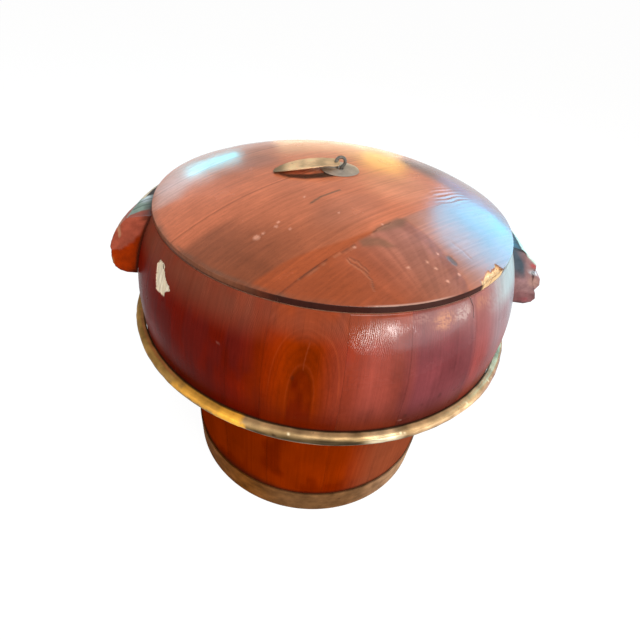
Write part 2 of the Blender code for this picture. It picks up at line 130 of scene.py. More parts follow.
# Sizes of the finish: metres, degrees, and a share of the lugs' reach
JOINT_GAP = 0.00010
ARRIS = 0.0006
BATTEN_EASE = 0.0012
RING_SPACING = 0.0026
COMB_SPACING = 0.0015
COMB_WANDER = 0.012
CHIP_DEPTH = 0.0008
CRACK_DEPTH = 0.0004
GOUGE_DEPTH = 0.00012
DENT_DEPTH = 0.00006
RIPPLE_DEPTH = 0.00010
RIM_CHIP_DEPTH = 0.0010
HOOP_DENT = 0.00022
CARVING_DEPTH = 0.00035
WIRE_BEND = 0.001
PULL_CUP = 0.0006
PULL_RIB = 0.0003
SHARP_ANGLE = 35.0
CARVED_ANGLE = 50.0
END_EASE = 0.35
OFF_SEAT = 0.02

# Spacing of the points: degrees, metres or counts
FINE_ANGLE = 0.5
COARSE_ANGLE = 1.5
FOOT_ANGLE = 1.0
FRONT_STAVES = (1, 2, 3, 4, 5, 6, 19, 20, 21)
FINE_ANGLES = {20: ((-147.0, -135.0, 0.09),), 4: ((-57.0, -52.7, 0.10),), 2: ((-107.0, -88.0, 0.2),)}
FINE_HEIGHTS = {
    20: ((0.2445, 0.2690, 0.0003),),
    4: ((0.2600, 0.2764, 0.0008),),
    2: ((0.186, 0.275, 0.0009),),
}
BELLY_ROWS = 76
WALL_ROWS = 14
FOOT_ROWS = 36
FOOT_WALL_ROWS = 8
LID_ROW = 0.0011
LID_END_ANGLE = 89.6
FINE_LID_BOARDS = (1, 2)
FINE_LID_COLUMNS = 230
COARSE_LID_COLUMNS = 130
UNDERSIDE_COLUMNS = 14
BATTEN_SECTIONS = 40
HOOP_SECTIONS = 720
HOOP_ARC = 25
BAND_ROWS = 20
LUG_SECTIONS = 70
LUG_POINTS = 73
LUG_SEAT_POINTS = 10
LUG_END_RINGS = 16
EYE_SECTIONS = 48
WIRE_SIDES = 16
PLATE_SECTIONS = 96
PLATE_RINGS = 9
LEAF_EDGE_POINTS = 70
LEAF_RINGS = 40

# Tints of the wood, as linear colours
INNER_WOOD = (0.40, 0.20, 0.09)
CHIPPED_WOOD = ((0.90, 0.74, 0.52), (1.0, 0.92, 0.76))
TORN_WOOD = ((0.78, 0.46, 0.20), (0.98, 0.70, 0.40))
BOARD_WOOD = ((0.28, 0.13, 0.055), (0.46, 0.25, 0.115))
BOARD_PORES = (0.15, 0.065, 0.03)
# Dark grime in joints, holes and cracks; also painted shade in gaps and along seats
GRIME_AND_PAINTED_SHADE = (0.030, 0.010, 0.006)

# Tints of the belly and the foot
BELLY_TONE = (0.24, 0.020, 0.005)
BELLY_TONES = {
    19: (0.190, 0.0082, 0.0025),
    20: (0.190, 0.0066, 0.0016),
    21: (0.163, 0.0082, 0.0025),
    1: (0.186, 0.0090, 0.0008),
    2: (0.27, 0.026, 0.000),
    3: (0.28, 0.054, 0.036),
    4: (0.180, 0.040, 0.044),
    5: (0.265, 0.050, 0.045),
}
# Dust over the upper belly, with painted sheen
BELLY_DUST_AND_PAINTED_SHEEN = (0.215, 0.060, 0.034)
BELLY_MURK = (0.112, 0.0105, 0.0085)
BELLY_PAINTED_SHEEN = (0.34, 0.165, 0.165)
ARCH_HEART_SHADE = (0.60, 0.40, 1.0)
ARCH_PALE_LIFT = (0.07, 0.035, 0.02)
WORN_LIFT = (0.05, 0.03, 0.015)
# Multiplier for the painted shade low on the belly
LOW_PAINTED_SHADE = (0.5, 0.3, 0.1)
SCUFFED = (0.50, 0.25, 0.20)
RIM_TAN = (0.36, 0.19, 0.145)
TAN_SCUFF_AND_PAINTED_HIGHLIGHT = (0.62, 0.27, 0.13)
PALE_SCUFF_AND_PAINTED_HIGHLIGHT = (0.68, 0.50, 0.44)
# Pale tints for painted reflections on the belly's right and the lid's rim
PAINTED_FROSTY_REFLECTION = (0.46, 0.52, 0.57)
PAINTED_MINT_REFLECTION = (0.46, 0.56, 0.56)
FOOT_TONE = (0.305, 0.027, 0.000)
FOOT_SHADES = {1: 0.88, 2: 1.0, 3: 1.0, 14: 0.98, 15: 0.97}
FOOT_BLOTCH_SHADE = (0.66, 0.5, 1.0)
FOOT_RIGHT_PAINTED_SHEEN = (0.30, 0.075, 0.032)

# Tints of the lid
LID_TONE = (0.64, 0.178, 0.080)
LID_REAR = (0.62, 0.205, 0.108)
LID_DARK = (0.33, 0.095, 0.043)
LID_STREAK = (0.38, 0.105, 0.045)
LID_CENTRE = (0.47, 0.16, 0.09)
LID_WARM = (0.76, 0.27, 0.14)
LID_ORANGE = (0.48, 0.105, 0.032)
LID_FRONT_LEFT = (0.45, 0.100, 0.033)
LID_FRONT_RIGHT = (0.52, 0.200, 0.125)
# Multiplier for the painted shade towards the lid's front
LID_FRONT_PAINTED_SHADE = (0.68, 0.61, 0.50)
BURL_LEFT = (0.46, 0.115, 0.052)
BURL_RIGHT = (0.46, 0.165, 0.112)
BURL_DARK = (0.36, 0.120, 0.080)
OLIVE_STAIN = (0.26, 0.115, 0.065)
# A painted gold reflection at the back of the lid
GOLD_PAINTED_REFLECTION = (0.88, 0.37, 0.10)
# A painted grey-blue reflection at the right of the lid
GREY_PAINTED_REFLECTION = (0.22, 0.115, 0.092)
# Painted shade and a painted pinkish reflection at the front right of the lid
FRONT_PAINTED_SHADE_AND_REFLECTION = (0.31, 0.140, 0.130)
# The painted shadow of the leaf pull on the lid
PAINTED_LEAF_SHADOW = (0.020, 0.012, 0.010)
# Worn milky lacquer at the left of the lid, with painted haze of reflected light
PALE_WEAR_AND_PAINTED_HAZE = (0.60, 0.43, 0.40)
REAR_STAIN = (0.42, 0.160, 0.105)
# A painted highlight on the lip beside each gouge
GOUGE_LIP_PAINTED_HIGHLIGHT = (0.66, 0.34, 0.20)
GOUGE_TONE = (0.12, 0.045, 0.025)
SCRATCH_TONE = (0.17, 0.090, 0.050)
DENT_TONE = (0.14, 0.100, 0.095)
SPECK_TONE = (0.78, 0.36, 0.24)
RIM_DARK = (0.16, 0.075, 0.045)
RIM_PAINTED_HIGHLIGHT = (0.60, 0.36, 0.28)
CRUMB_TONE = (0.30, 0.16, 0.07)
LID_EDGE_TONE = (0.035, 0.010, 0.008)
LID_EDGE_WORN = (0.26, 0.095, 0.050)

# Tints of the brass
BRASS_STAIN = (0.05, 0.045, 0.03)
HOOP_TONE = (0.32, 0.20, 0.085)
HOOP_OLIVE = (0.40, 0.22, 0.06)
HOOP_BROWN = (0.20, 0.125, 0.055)
HOOP_DARK = (0.075, 0.050, 0.024)
HOOP_PALE = (0.72, 0.46, 0.25)
HOOP_PINK = (0.50, 0.26, 0.20)
HOOP_DULL = (0.20, 0.12, 0.125)
HOOP_PAINTED_HIGHLIGHT = (0.72, 0.60, 0.40)
HOOP_CREST_PAINTED_HIGHLIGHT = (0.70, 0.46, 0.22)
HOOP_GOLD = (0.86, 0.42, 0.06)
HOOP_RUBBED = (1.0, 0.50, 0.065)
HOOP_PAINTED_SHINE = (0.50, 0.18, 0.06)
HOOP_FLECK = (1.0, 0.85, 0.55)
BAND_TONE = (0.21, 0.095, 0.034)
BAND_LEFT = (0.24, 0.076, 0.006)
BAND_RIGHT = (0.46, 0.25, 0.13)
PULL_TONE = (0.96, 0.64, 0.36)
PLATE_TONE = (0.50, 0.40, 0.32)
STEEL_TONE = (0.16, 0.15, 0.13)

# Paint of the carved lugs, with painted highlights and painted shade among its tints, and the line where red
# meets brown on the left one, as shares of its size
LEAF_PAINT = (0.24, 0.33, 0.28)
LEAF_PAINTED_HIGHLIGHT = (0.60, 0.72, 0.80)
LEAF_VEIN = (0.05, 0.09, 0.075)
LEAF_PAINTED_SHADE = (0.035, 0.022, 0.016)
LEAF_EDGE_PAINTED_HIGHLIGHT = (0.72, 0.62, 0.46)
LEFT_PAINT_EDGE = ((0.05, 0.78), (0.3, 0.58), (0.6, 0.48), (1.0, 0.43))
RED_PAINT = (0.37, 0.080, 0.045)
BROWN_PAINT = (0.33, 0.030, 0.001)
OCHRE_PAINTED_HIGHLIGHT = (0.42, 0.20, 0.05)
FRUIT_STREAK_PAINTED_HIGHLIGHT = (0.50, 0.26, 0.15)
PINK_PAINT = (0.37, 0.205, 0.20)
PINK_PAINTED_HIGHLIGHT = (0.52, 0.30, 0.24)
PINK_BASE = (0.28, 0.13, 0.13)
CRIMSON_WEAR = (0.50, 0.10, 0.12)
BASE_SHADE = (0.10, 0.05, 0.05)
FRUIT_WHITE_PAINTED_HIGHLIGHT = (0.66, 0.66, 0.68)
RED_TIP = (0.50, 0.08, 0.08)
BLUE_PAINTED_SHADOW = (0.075, 0.115, 0.145)
RIGHT_LEAF_PAINTED_SHADE = (0.030, 0.022, 0.016)
RIGHT_LEAF_EDGE_AND_PAINTED_HIGHLIGHT = (0.62, 0.80, 0.72)
RIGHT_LEAF_VEIN = (0.16, 0.28, 0.23)

# Finishes: how they shine, from their smoothest to their roughest, and how their grain stands up
DULL_BELLY = dict(specular=0.01, smoothest=0.25, roughest=0.40, figure=0.6, relief=0.0003)
GLOSSY_BELLY = dict(specular=0.34, smoothest=0.14, roughest=0.24, figure=0.6, relief=0.00012)
FOOT_LACQUER = dict(specular=0.0, smoothest=0.34, roughest=0.50, figure=0.6, relief=0.0003)
LID_LACQUER = dict(specular=0.55, smoothest=0.18, roughest=0.28, figure=0.8, relief=0.00022, bare=TORN_WOOD)
LID_EDGE = dict(specular=0.03, smoothest=0.30, roughest=0.45, figure=1.0, relief=0.0004, bare=TORN_WOOD)
WAIST_BRASS = dict(metallic=0.40, smoothest=0.26, roughest=0.46)
BAND_BRASS = dict(metallic=0.15, smoothest=0.34, roughest=0.56)
PULL_BRASS = dict(metallic=0.45, smoothest=0.30, roughest=0.50)

# Zones and grain of the belly, in degrees round it and metres of height
GLOSSY_STAVES = (3, 4)
GLOSS_BASE = ((-88.2, 0.226), (-72.7, 0.232), (-52.7, 0.246))
GLOSS_FADE = 0.022
GLOSS_LEVELS = 6
GLOSS_DEPTH = 0.023
COMBED_ZONES = ((-130.0, -106.0, 0.252), (-95.0, -56.0, 0.244))
COMB_LEAN = ((-92, 0.75), (-72, 0.1), (-60, -0.15))
MURK_ANGLES = (-114, -104)
MURK_HEIGHTS = (0.198, 0.214)
# Dust and painted sheen: angles over which it fades out, heights over which it comes, and weight
DUST_AND_SHEEN_ZONES = (((-114, -100), (0.246, 0.274), 1.0), ((-84, -70), (0.254, 0.272), 0.75))
TAN_ANGLES = ((-78, -64), (-36, -30))
TAN_HEIGHTS = (0.248, 0.275)
BELLY_FIGURE = 0.2
FOOT_FIGURE = 0.24
JOINT_GRIME = 0.06
JOINT_BLEND = 7.0
SHARP_JOINTS = {3: 3.0, 4: 1.2}
ARCHED_STAVE = 2
ARCH_ANGLE = -97.5
ARCH_BASE = 0.190
ARCH_RISE = 0.0494
ARCH_HALF_WIDTH = 0.0082
ARCH_POWER = 2.3
ARCH_RINGS = ((ARCH_HALF_WIDTH, 0.5), (0.0118, 0.16), (0.0152, 0.2), (0.0190, 0.14))
ARCH_HEART = (0.0072, 0.0088)
ARCH_PALE_RING = 0.0098
ARCH_OUTER_RING = 0.0224
ARCH_FIGURE = 0.36

# Marks on the belly, in degrees round it and millimetres of height; the arch's line is in millimetres
ARCH_LINE = ((2.4, 258.1), (0.9, 250.2), (0.2, 244.0), (0.3, 239.7))
BELLY_CHIP = (
    (-145.3, 262.5), (-144.2, 255.0), (-142.6, 246.9), (-138.2, 247.6), (-138.4, 251.0), (-136.4, 254.3),
    (-137.2, 257.0), (-138.9, 258.6), (-140.6, 262.6), (-141.6, 266.6), (-144.2, 267.2),
)
BELLY_CHIP_HOLE = ((-142.6, 265.0), (-142.0, 263.4))
BELLY_CRACK = ((-54.5, 277.0), (-53.6, 271.6), (-53.5, 263.0))
BELLY_SCRATCHES = (
    ((-86.0, 268.0), (-85.0, 259.0), (-84.0, 262.5)),
    ((-118.4, 240.9), (-117.9, 240.4)),
    ((-74.0, 190.5), (-71.5, 191.0)),
)
BELLY_SPOTS = ((-71.0, 195.5, 2.2), (-67.0, 204.0, 1.6), (-62.0, 208.0, 2.6), (-99.6, 232.4, 1.9))

# Scuffs near the rim, some also painted highlights: place, half sizes in millimetres, weight and colour
BELLY_SCUFFS_AND_HIGHLIGHTS = (
    ((-70.0, 272.5), (12, 4), 0.35, SCUFFED),
    ((-63.5, 268.5), (14, 8), 0.55, TAN_SCUFF_AND_PAINTED_HIGHLIGHT),
    ((-57.0, 269.5), (13, 7), 0.50, PALE_SCUFF_AND_PAINTED_HIGHLIGHT),
    ((-49.0, 271.0), (14, 7), 0.50, TAN_SCUFF_AND_PAINTED_HIGHLIGHT),
    ((-45.0, 265.0), (12, 10), 0.20, PALE_SCUFF_AND_PAINTED_HIGHLIGHT),
)

# Painted sheen and reflections at the right: colour, weight, angles and heights where they come, raggedness,
# streaks
BELLY_PAINTED_SHEEN_ZONES = (
    (BELLY_PAINTED_SHEEN, 0.5, (-62, -46), (222, 256), 0.0, 0.0),
    (PAINTED_FROSTY_REFLECTION, 0.26, (-49, -40), (205, 235), 0.0, 0.0),
    (PAINTED_FROSTY_REFLECTION, 0.8, (-38, -25), (215, 250), 0.0, 0.25),
    (PAINTED_MINT_REFLECTION, 0.8, (-47, -33), (250, 266), 3.0, 0.0),
)
PAINTED_SHEEN_END = (-21, -14.5)

# Marks on the lid, and the outlines of its painted reflections, haze and leaf shadow, in millimetres along
# its grain and across it, which its functions call a and c; the chip is in degrees and the place where the
# front seam closes is in metres
LID_SPECKS = (
    (-109.6, -35.3, 3.2), (-104.3, -35.2, 1.6), (-93.9, -36.0, 2.0), (-90.3, -33.3, 1.5),
    (-88.6, -44.2, 1.6), (-56.9, -21.5, 1.4), (-29.0, -125.2, 1.8), (-30.6, -118.9, 1.7),
    (-46.6, -115.3, 1.6), (-17.5, -117.4, 1.6), (-16.1, -136.4, 1.7), (-28.6, -136.3, 1.8),
    (-65.6, -83.5, 1.6), (-50.7, -51.3, 1.4), (-33.0, -77.8, 1.6),
)
LID_GOUGES = (
    ((-110.0, -79.8), (-97.0, -80.6), (-87.5, -80.2)),
    ((-81.3, -80.6), (-73.9, -81.8), (-63.6, -82.0)),
    ((-46.1, -81.0), (-38.5, -79.0), (-26.0, -79.6)),
    ((-76.5, -87.2), (-75.7, -94.2), (-73.4, -102.2), (-74.0, -107.9), (-77.2, -113.8)),
    ((-74.1, -87.3), (-72.0, -94.2), (-71.3, -102.5)),
)
LID_SCRATCH = ((-58.5, -30.7), (-45.6, -28.2), (-27.7, -28.8))
LID_DENT = ((-11.9, -124.0), (-11.6, -128.8))
LID_GROOVES = (
    ((67.2, -105.4), (69.1, -114.4)),
    ((63.7, -119.1), (61.4, -124.7)),
    ((3.1, -108.2), (12.4, -114.4), (22.7, -120.5)),
    ((2.6, -115.2), (4.8, -122.7), (5.1, -130.5)),
)
LID_ORANGE_EDGE = ((-128, -61.7), (-106, -64.5), (-77, -71.6), (-46, -78.0))
LID_BURL = (
    (-64, -81), (-46, -81), (-17, -79), (-12.5, -84), (-10.5, -104), (-12.5, -123), (-16, -143),
    (-24, -155), (-115, -115), (-90, -84),
)
LID_BURL_EDGE = ((-21, -83), (-15, -104), (-17, -123), (-21, -146))
LID_BURL_ROOT = (-58, -172)
LID_BURL_START = (-94, -58)
LID_OLIVE = (
    ((-59, -80.5), (-50, -82), (-43, -89), (-41, -98), (-46, -97), (-52, -91), (-61, -86)),
    ((-46, -80), (-38.5, -78), (-17, -78), (-11, -82), (-20, -87), (-35, -84)),
)
LID_WEAR_AND_PAINTED_HAZE = ((-135, 58), (-118, 92), (-92, 113), (-70, 128), (-62, 96), (-92, 74), (-118, 52))
LID_GOLD_REFLECTION = ((40, 36), (58, 28), (84, 10), (76, -8), (60, -23), (40, -27), (20, -6), (26, 22))
LID_LEAF_SHADOW = (
    (-49.7, 23.8), (-41.2, 14.3), (-28.3, 5.0), (-17.8, 2.3), (-6.0, 1.7), (-11.1, -9.4),
    (-25.3, -5.9), (-37.8, 0.1), (-46.7, 10.0),
)
LID_RIPPLES = (((58, -74), (30, 22)), ((16, -112), (26, 20)))
LID_RIPPLE_LENGTH = 4.4
LID_CHIP_ANGLES = (-50.0, -37.5)
LID_SEAM_CLOSES = (-0.095, -0.075)

# Tarnish of the waist hoop and a painted highlight on its front: colour, weight, and the degrees over which
# it comes and goes
HOOP_TARNISH_AND_HIGHLIGHT = (
    (HOOP_OLIVE, 1.0, None, (-135, -118)),
    (HOOP_BROWN, 0.8, (-106, -98), None),
    (HOOP_DARK, 0.9, (-99, -93), (-83, -79)),
    (HOOP_PALE, 1.0, (-76, -60), (20, 80)),
    (HOOP_PINK, 1.0, (-48, -36), (10, 40)),
    (HOOP_DULL, 1.0, (-34, -24), (10, 40)),
    # Painted highlight on the front of the hoop
    (HOOP_PAINTED_HIGHLIGHT, 1.0, (-82, -78), (-74, -70)),
)
HOOP_SHADED = ((-114, -108), (-99, -92))
HOOP_GOLD_ANGLES = ((-134, -129), (-114, -110))
HOOP_RUBBED_ANGLES = ((-118.5, -117), (-110.5, -109))
HOOP_PAINTED_SHINE_ANGLES = ((-172, -160), (-136, -128))

# Flecks and dark spots of the hoops: degrees, millimetres of height and size
HOOP_FLECKS = (
    (-99.0, 3.4, 0.7), (-72.0, 3.4, 0.8), (-71.0, 3.0, 0.6), (-50.0, 3.4, 0.8), (-38.0, 3.4, 0.8),
    (-36.0, 3.0, 0.5),
)
HOOP_SPOT = (-102.4, 0.8)
BAND_NAIL = (-76.4, 18.0)
BAND_LAP = 96.0
HOOP_DEGREE = 3.1
BAND_DEGREE = 2.2

# Lamps: name, place, target, width and height, radiance, colour, and a shape other than a rectangle
LAMPS = (
    ("key", (0.55, -0.95, 1.70), (0, 0, 0.2), (1.2, 1.2), 4.9, (1.0, 0.97, 0.93)),
    ("window", (1.01, 0.877, 0.79), (0.1, -0.05, 0.295), (0.87, 0.91), 6.0, (0.06, 0.64, 1.0), "ELLIPSE"),
    ("sky_gap", (-0.55, 1.33, 0.47), (-0.1, 0.02, 0.3), (0.32, 0.15), 9.0, (0.10, 0.80, 1.0)),
    ("haze", (-0.78, 1.23, 0.57), (-0.12, 0.03, 0.29), (0.30, 0.22), 2.2, (0.85, 0.82, 0.90)),
    ("fill", (-1.10, -0.90, 0.70), (0, 0, 0.25), (0.8, 0.8), 1.6, (1.0, 0.94, 0.86)),
    ("strip", (0.80, -1.45, 0.45), (0, 0, 0.25), (0.24, 0.16), 56.0, (1.0, 0.98, 0.95)),
    ("glow", (1.31, -0.92, 0.36), (0, 0, 0.25), (1.4, 0.50), 3.4, (0.85, 0.93, 1.0)),
    ("warm_wall", (0.12, 1.60, 0.33), (0, 0, 0.3), (0.64, 0.60), 1.5, (1.0, 0.70, 0.36)),
    ("lavender", (0.94, 1.50, 0.43), (0.1, 0.05, 0.3), (0.46, 0.26), 1.15, (0.36, 0.50, 1.0)),
    ("gold", (0.38, 1.58, 0.62), (0.05, 0.03, 0.31), (0.24, 0.36), 2.8, (1.0, 0.58, 0.06)),
)

# Room and floor
ROOM_BELOW = (0.60, 0.59, 0.57, 1)
ROOM_MIDDLE = (0.62, 0.61, 0.59, 1)
ROOM_ABOVE = (0.42, 0.41, 0.40, 1)
ROOM_MIDDLE_PLACE = 0.3
ROOM_STRENGTH = 0.75
FLOOR_REACH = 300.0
FLOOR_DROP = 0.0002
FLOOR_GREY = (0.2, 0.2, 0.2, 1)
FLOOR_SHADOW = (0.14, 0.14, 0.14, 1)
FLOOR_STRENGTH = 0.93

# Camera, from the photo
CAMERA_PLACE = (-0.03234, -0.36585, 0.44537)
CAMERA_RIGHT = (0.99506, -0.00686, 0.09894)
CAMERA_UP = (-0.07237, 0.63185, 0.77170)
CAMERA_FORWARD = (0.06781, 0.77505, -0.62825)
CAMERA_LENS = 25.3125
CAMERA_SENSOR = 36.0


def mix(a, b, share):
    return a + (b - a) * share


def smooth(low, high, value):
    """0 below low and 1 above high, with an eased step between; if low is the larger, the step falls."""
    share = np.clip((value - low) / (high - low), 0.0, 1.0)
    return share * share * (3 - 2 * share)


def toward(tint, colour, weight):
    """The tints moved towards a colour by a weight at each point."""
    return tint + (np.asarray(colour) - tint) * np.asarray(weight)[..., None]


def layered(tint, *layers):
    """The tints moved towards each colour by its weight, one after another."""
    for colour, weight in layers:
        tint = toward(tint, colour, weight)
    return tint


def coat(tone, shape):
    """The same tint at every point."""
    return np.broadcast_to(np.array(tone), (*shape, 3)).copy()


def shaded(tint, factor):
    """The tints times a factor at each point."""
    return tint * factor[..., None]


def within(value, rise=None, fall=None):
    """1 past the range of its rise and short of the range of its fall, with eased steps over both."""
    weight = smooth(*rise, value) if rise else 1.0
    return weight * smooth(fall[1], fall[0], value) if fall else weight


def close_to(value, centre, width):
    """1 at the centre, fading to 0 a width away."""
    return 1 - smooth(0.0, width, np.abs(value - centre))


def along_line(value, points):
    """Each value's height on a line through the points."""
    return np.interp(value, *zip(*points))


def noise(x, y, seed):
    """Smooth noise from -1 to 1 with one cell to a unit."""
    size = 64
    lattice = np.random.default_rng(seed).uniform(-1, 1, (size, size))
    x, y = np.broadcast_arrays(np.asarray(x, float), np.asarray(y, float))
    left = np.floor(x).astype(int)
    low = np.floor(y).astype(int)
    share_x = smooth(0, 1, x - left)
    share_y = smooth(0, 1, y - low)
    below = mix(lattice[left % size, low % size], lattice[(left + 1) % size, low % size], share_x)
    above = mix(
        lattice[left % size, (low + 1) % size], lattice[(left + 1) % size, (low + 1) % size], share_x
    )
    return mix(below, above, share_y)


def line_distance(x, y, points):
    """Distance of each place from a line through the points."""
    nearest = np.full(np.broadcast(x, y).shape, np.inf)
    for (ax, ay), (bx, by) in zip(points, points[1:]):
        run_x, run_y = bx - ax, by - ay
        share = np.clip(((x - ax) * run_x + (y - ay) * run_y) / (run_x**2 + run_y**2), 0, 1)
        nearest = np.minimum(nearest, np.hypot(x - ax - share * run_x, y - ay - share * run_y))
    return nearest


def stroke(x, y, points, width):
    """1 on a line through the points, fading to 0 at half its width."""
    return 1 - smooth(width * 0.2, width * 0.5, line_distance(x, y, points))


def spot(x, y, centre, radii):
    """1 at the centre of an oval, fading to 0 at its edge."""
    return 1 - smooth(0.35, 1.0, np.hypot((x - centre[0]) / radii[0], (y - centre[1]) / radii[1]))


def patch(x, y, corners, soft):
    """1 inside a polygon and 0 outside, fading over its edge."""
    closed = [*corners, corners[0]]
    odd = np.zeros(np.broadcast(x, y).shape, bool)
    for (ax, ay), (bx, by) in zip(closed, closed[1:]):
        if ay != by:
            odd ^= ((ay > y) != (by > y)) & (x < (bx - ax) * (y - ay) / (by - ay) + ax)
    distance = line_distance(x, y, closed)
    return smooth(-soft, soft, np.where(odd, distance, -distance))


def stave_angles(shares, start):
    """(start, end) of each stave in degrees, from -180 up."""
    widths = list(shares) * STAVE_ROUNDS
    edges = start + 360.0 * np.cumsum([0, *widths]) / sum(widths)
    turns = np.where(edges[:-1] > 180, 360.0, 0.0)
    return list(zip(edges[:-1] - turns, edges[1:] - turns))


def belly_radius(height):
    """Outer radius of the belly: straight behind the hoop, out to the crown and in to the rim."""
    below = (CROWN_HEIGHT - height) / (CROWN_HEIGHT - HOOP_SEAT_TOP)
    above = (height - CROWN_HEIGHT) / (RIM_HEIGHT - CROWN_HEIGHT)
    low = BELLY_RADIUS - (BELLY_RADIUS - HOOP_SEAT_RADIUS) * np.clip(below, 0, 1) ** 2
    high = BELLY_RADIUS - (BELLY_RADIUS - RIM_RADIUS) * np.clip(above, 0, 1) ** 2
    return np.minimum(low, high)


def foot_radius(height):
    """Outer radius of the foot."""
    return mix(FOOT_BASE_RADIUS, FOOT_TOP_RADIUS, height / FOOT_HEIGHT)


def lid_height(radius):
    """Height of the lid's domed top."""
    return LID_EDGE_TOP + LID_RISE * (1 - (radius / LID_RADIUS) ** LID_DOME_POWER)


def turned(x, y, height, degrees):
    """Points turned about the bucket's axis."""
    turn = math.radians(degrees)
    along = x * math.cos(turn) - y * math.sin(turn)
    across = x * math.sin(turn) + y * math.cos(turn)
    return np.stack([along, across, height], -1)


def half_turns(angle):
    """The same angles from -180 up to 180."""
    return (angle + 180) % 360 - 180


def round_points(angle, radius, height):
    """Points from angles in degrees, radii and heights."""
    turn = np.radians(angle)
    return np.stack(np.broadcast_arrays(radius * np.cos(turn), radius * np.sin(turn), height), -1)


def grid_mesh(name, points, material, attributes, closed=False, sharp=SHARP_ANGLE, other=None):
    """A solid from rows of points, each row a closed loop. Open rows are capped, closed rows make a ring.

    The other finishes, if given, are a list of materials and each point's place in it, from 1; a face takes
    the lowest of its corners.
    """
    rows, columns = points.shape[:2]
    index = np.arange(rows * columns).reshape(rows, columns)
    after = np.roll(index, -1, axis=0) if closed else index[1:]
    here = index if closed else index[:-1]
    quads = np.stack([here, np.roll(here, -1, 1), np.roll(after, -1, 1), after], -1).reshape(-1, 4)
    faces = quads.tolist()
    flat = points.reshape(-1, 3)
    a, b, c, d = (flat[quads[:, corner]] - flat.mean(axis=0) for corner in range(4))
    volume = np.sum(a * np.cross(b, c)) + np.sum(a * np.cross(c, d))
    if not closed:
        faces += [index[0][::-1].tolist(), index[-1].tolist()]
    if volume < 0:
        faces = [face[::-1] for face in faces]

    mesh = bpy.data.meshes.new(name)
    mesh.from_pydata(flat.tolist(), [], faces)
    for key, values in attributes.items():
        values = np.asarray(values, float)
        if key == "tint":
            colours = np.concatenate([values.reshape(-1, 3), np.ones((rows * columns, 1))], axis=1)
            layer = mesh.attributes.new(key, "FLOAT_COLOR", "POINT")
            layer.data.foreach_set("color", colours.ravel())
        elif values.ndim == 3:
            layer = mesh.attributes.new(key, "FLOAT_VECTOR", "POINT")
            layer.data.foreach_set("vector", values.ravel())
        else:
            layer = mesh.attributes.new(key, "FLOAT", "POINT")
            layer.data.foreach_set("value", values.ravel())
    mesh.shade_smooth()
    mesh.set_sharp_from_angle(angle=math.radians(sharp))
    mesh.materials.append(material)
    if other:
        for finish in other[0]:
            mesh.materials.append(finish)
        levels = other[1].astype(np.int32)
        taken = levels.ravel()[quads].min(axis=1)
        slots = np.concatenate([taken, np.full(len(faces) - len(quads), levels.max())])
        mesh.polygons.foreach_set("material_index", slots.astype(np.int32))
    piece = bpy.data.objects.new(name, mesh)
    bpy.context.scene.collection.objects.link(piece)
    return piece


def dress(node, body, slot, points, material, attributes, name=None, **options):
    """A finer piece stands for the node, moves with the body and takes the given material; the slot is not
    used.
    """
    piece = grid_mesh(name or "fine_" + node, points, material, attributes, **options)
    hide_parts(node)
    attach(piece, body)


class Graph:
    """A material's nodes."""

    def __init__(self, name, specular=0.5, metallic=0.0):
        self.material = bpy.data.materials.new(name)
        self.material.use_nodes = True
        self.tree = self.material.node_tree
        self.shader = self.tree.nodes["Principled BSDF"]
        self.shader.inputs["Specular IOR Level"].default_value = specular
        self.shader.inputs["Metallic"].default_value = metallic

    def node(self, kind, inputs, **settings):
        made = self.tree.nodes.new("ShaderNode" + kind)
        for key, value in settings.items():
            setattr(made, key, value)
        for socket, value in inputs.items():
            if isinstance(value, bpy.types.NodeSocket):
                self.tree.links.new(value, made.inputs[socket])
            else:
                made.inputs[socket].default_value = value
        return made

    def attribute(self, name, output="Fac"):
        return self.node("Attribute", {}, attribute_name=name).outputs[output]

    def place(self):
        return self.node("TexCoord", {}).outputs["Object"]

    def math(self, operation, a, b=0.0):
        return self.node("Math", {0: a, 1: b}, operation=operation).outputs[0]

    def spread(self, value, low, high, start=0.0, end=1.0):
        """The value's range from low to high, stretched to start and end."""
        inputs = {"Value": value, "From Min": low, "From Max": high, "To Min": start, "To Max": end}
        return self.node("MapRange", inputs).outputs["Result"]

    def swing(self, value, reach):
        """The value's distance from a half, times a reach."""
        return self.math("MULTIPLY", self.math("SUBTRACT", value, 0.5), reach)

    def total(self, *parts):
        """The sum of values, each times its share."""
        shares = [self.math("MULTIPLY", value, share) for value, share in parts]
        summed = shares[0]
        for part in shares[1:]:
            summed = self.math("ADD", summed, part)
        return summed

    def stretch(self, vector, factors):
        return self.node("VectorMath", {0: vector, 1: factors}, operation="MULTIPLY").outputs[0]

    def brighten(self, colour, factor):
        return self.node("VectorMath", {0: colour, "Scale": factor}, operation="SCALE").outputs[0]

    def noise(self, vector, scale, detail=3.0):
        inputs = {"Vector": vector, "Scale": scale, "Detail": detail, "Roughness": 0.55}
        return self.node("TexNoise", inputs).outputs["Fac"]

    def rings(self, distance, spacing):
        place = self.math("DIVIDE", distance, spacing)
        inputs = {"W": place, "Scale": 1.0, "Detail": 2.0, "Roughness": 0.6}
        return self.node("TexNoise", inputs, noise_dimensions="1D").outputs["Fac"]

    def mix(self, factor, a, b):
        return self.node("Mix", {0: factor, 6: a, 7: b}, data_type="RGBA").outputs[2]

    def bump(self, height, strength, distance):
        inputs = {"Height": height, "Strength": strength, "Distance": distance}
        self.finish("Normal", self.node("Bump", inputs).outputs["Normal"])

    def finish(self, socket, value):
        self.tree.links.new(value, self.shader.inputs[socket])


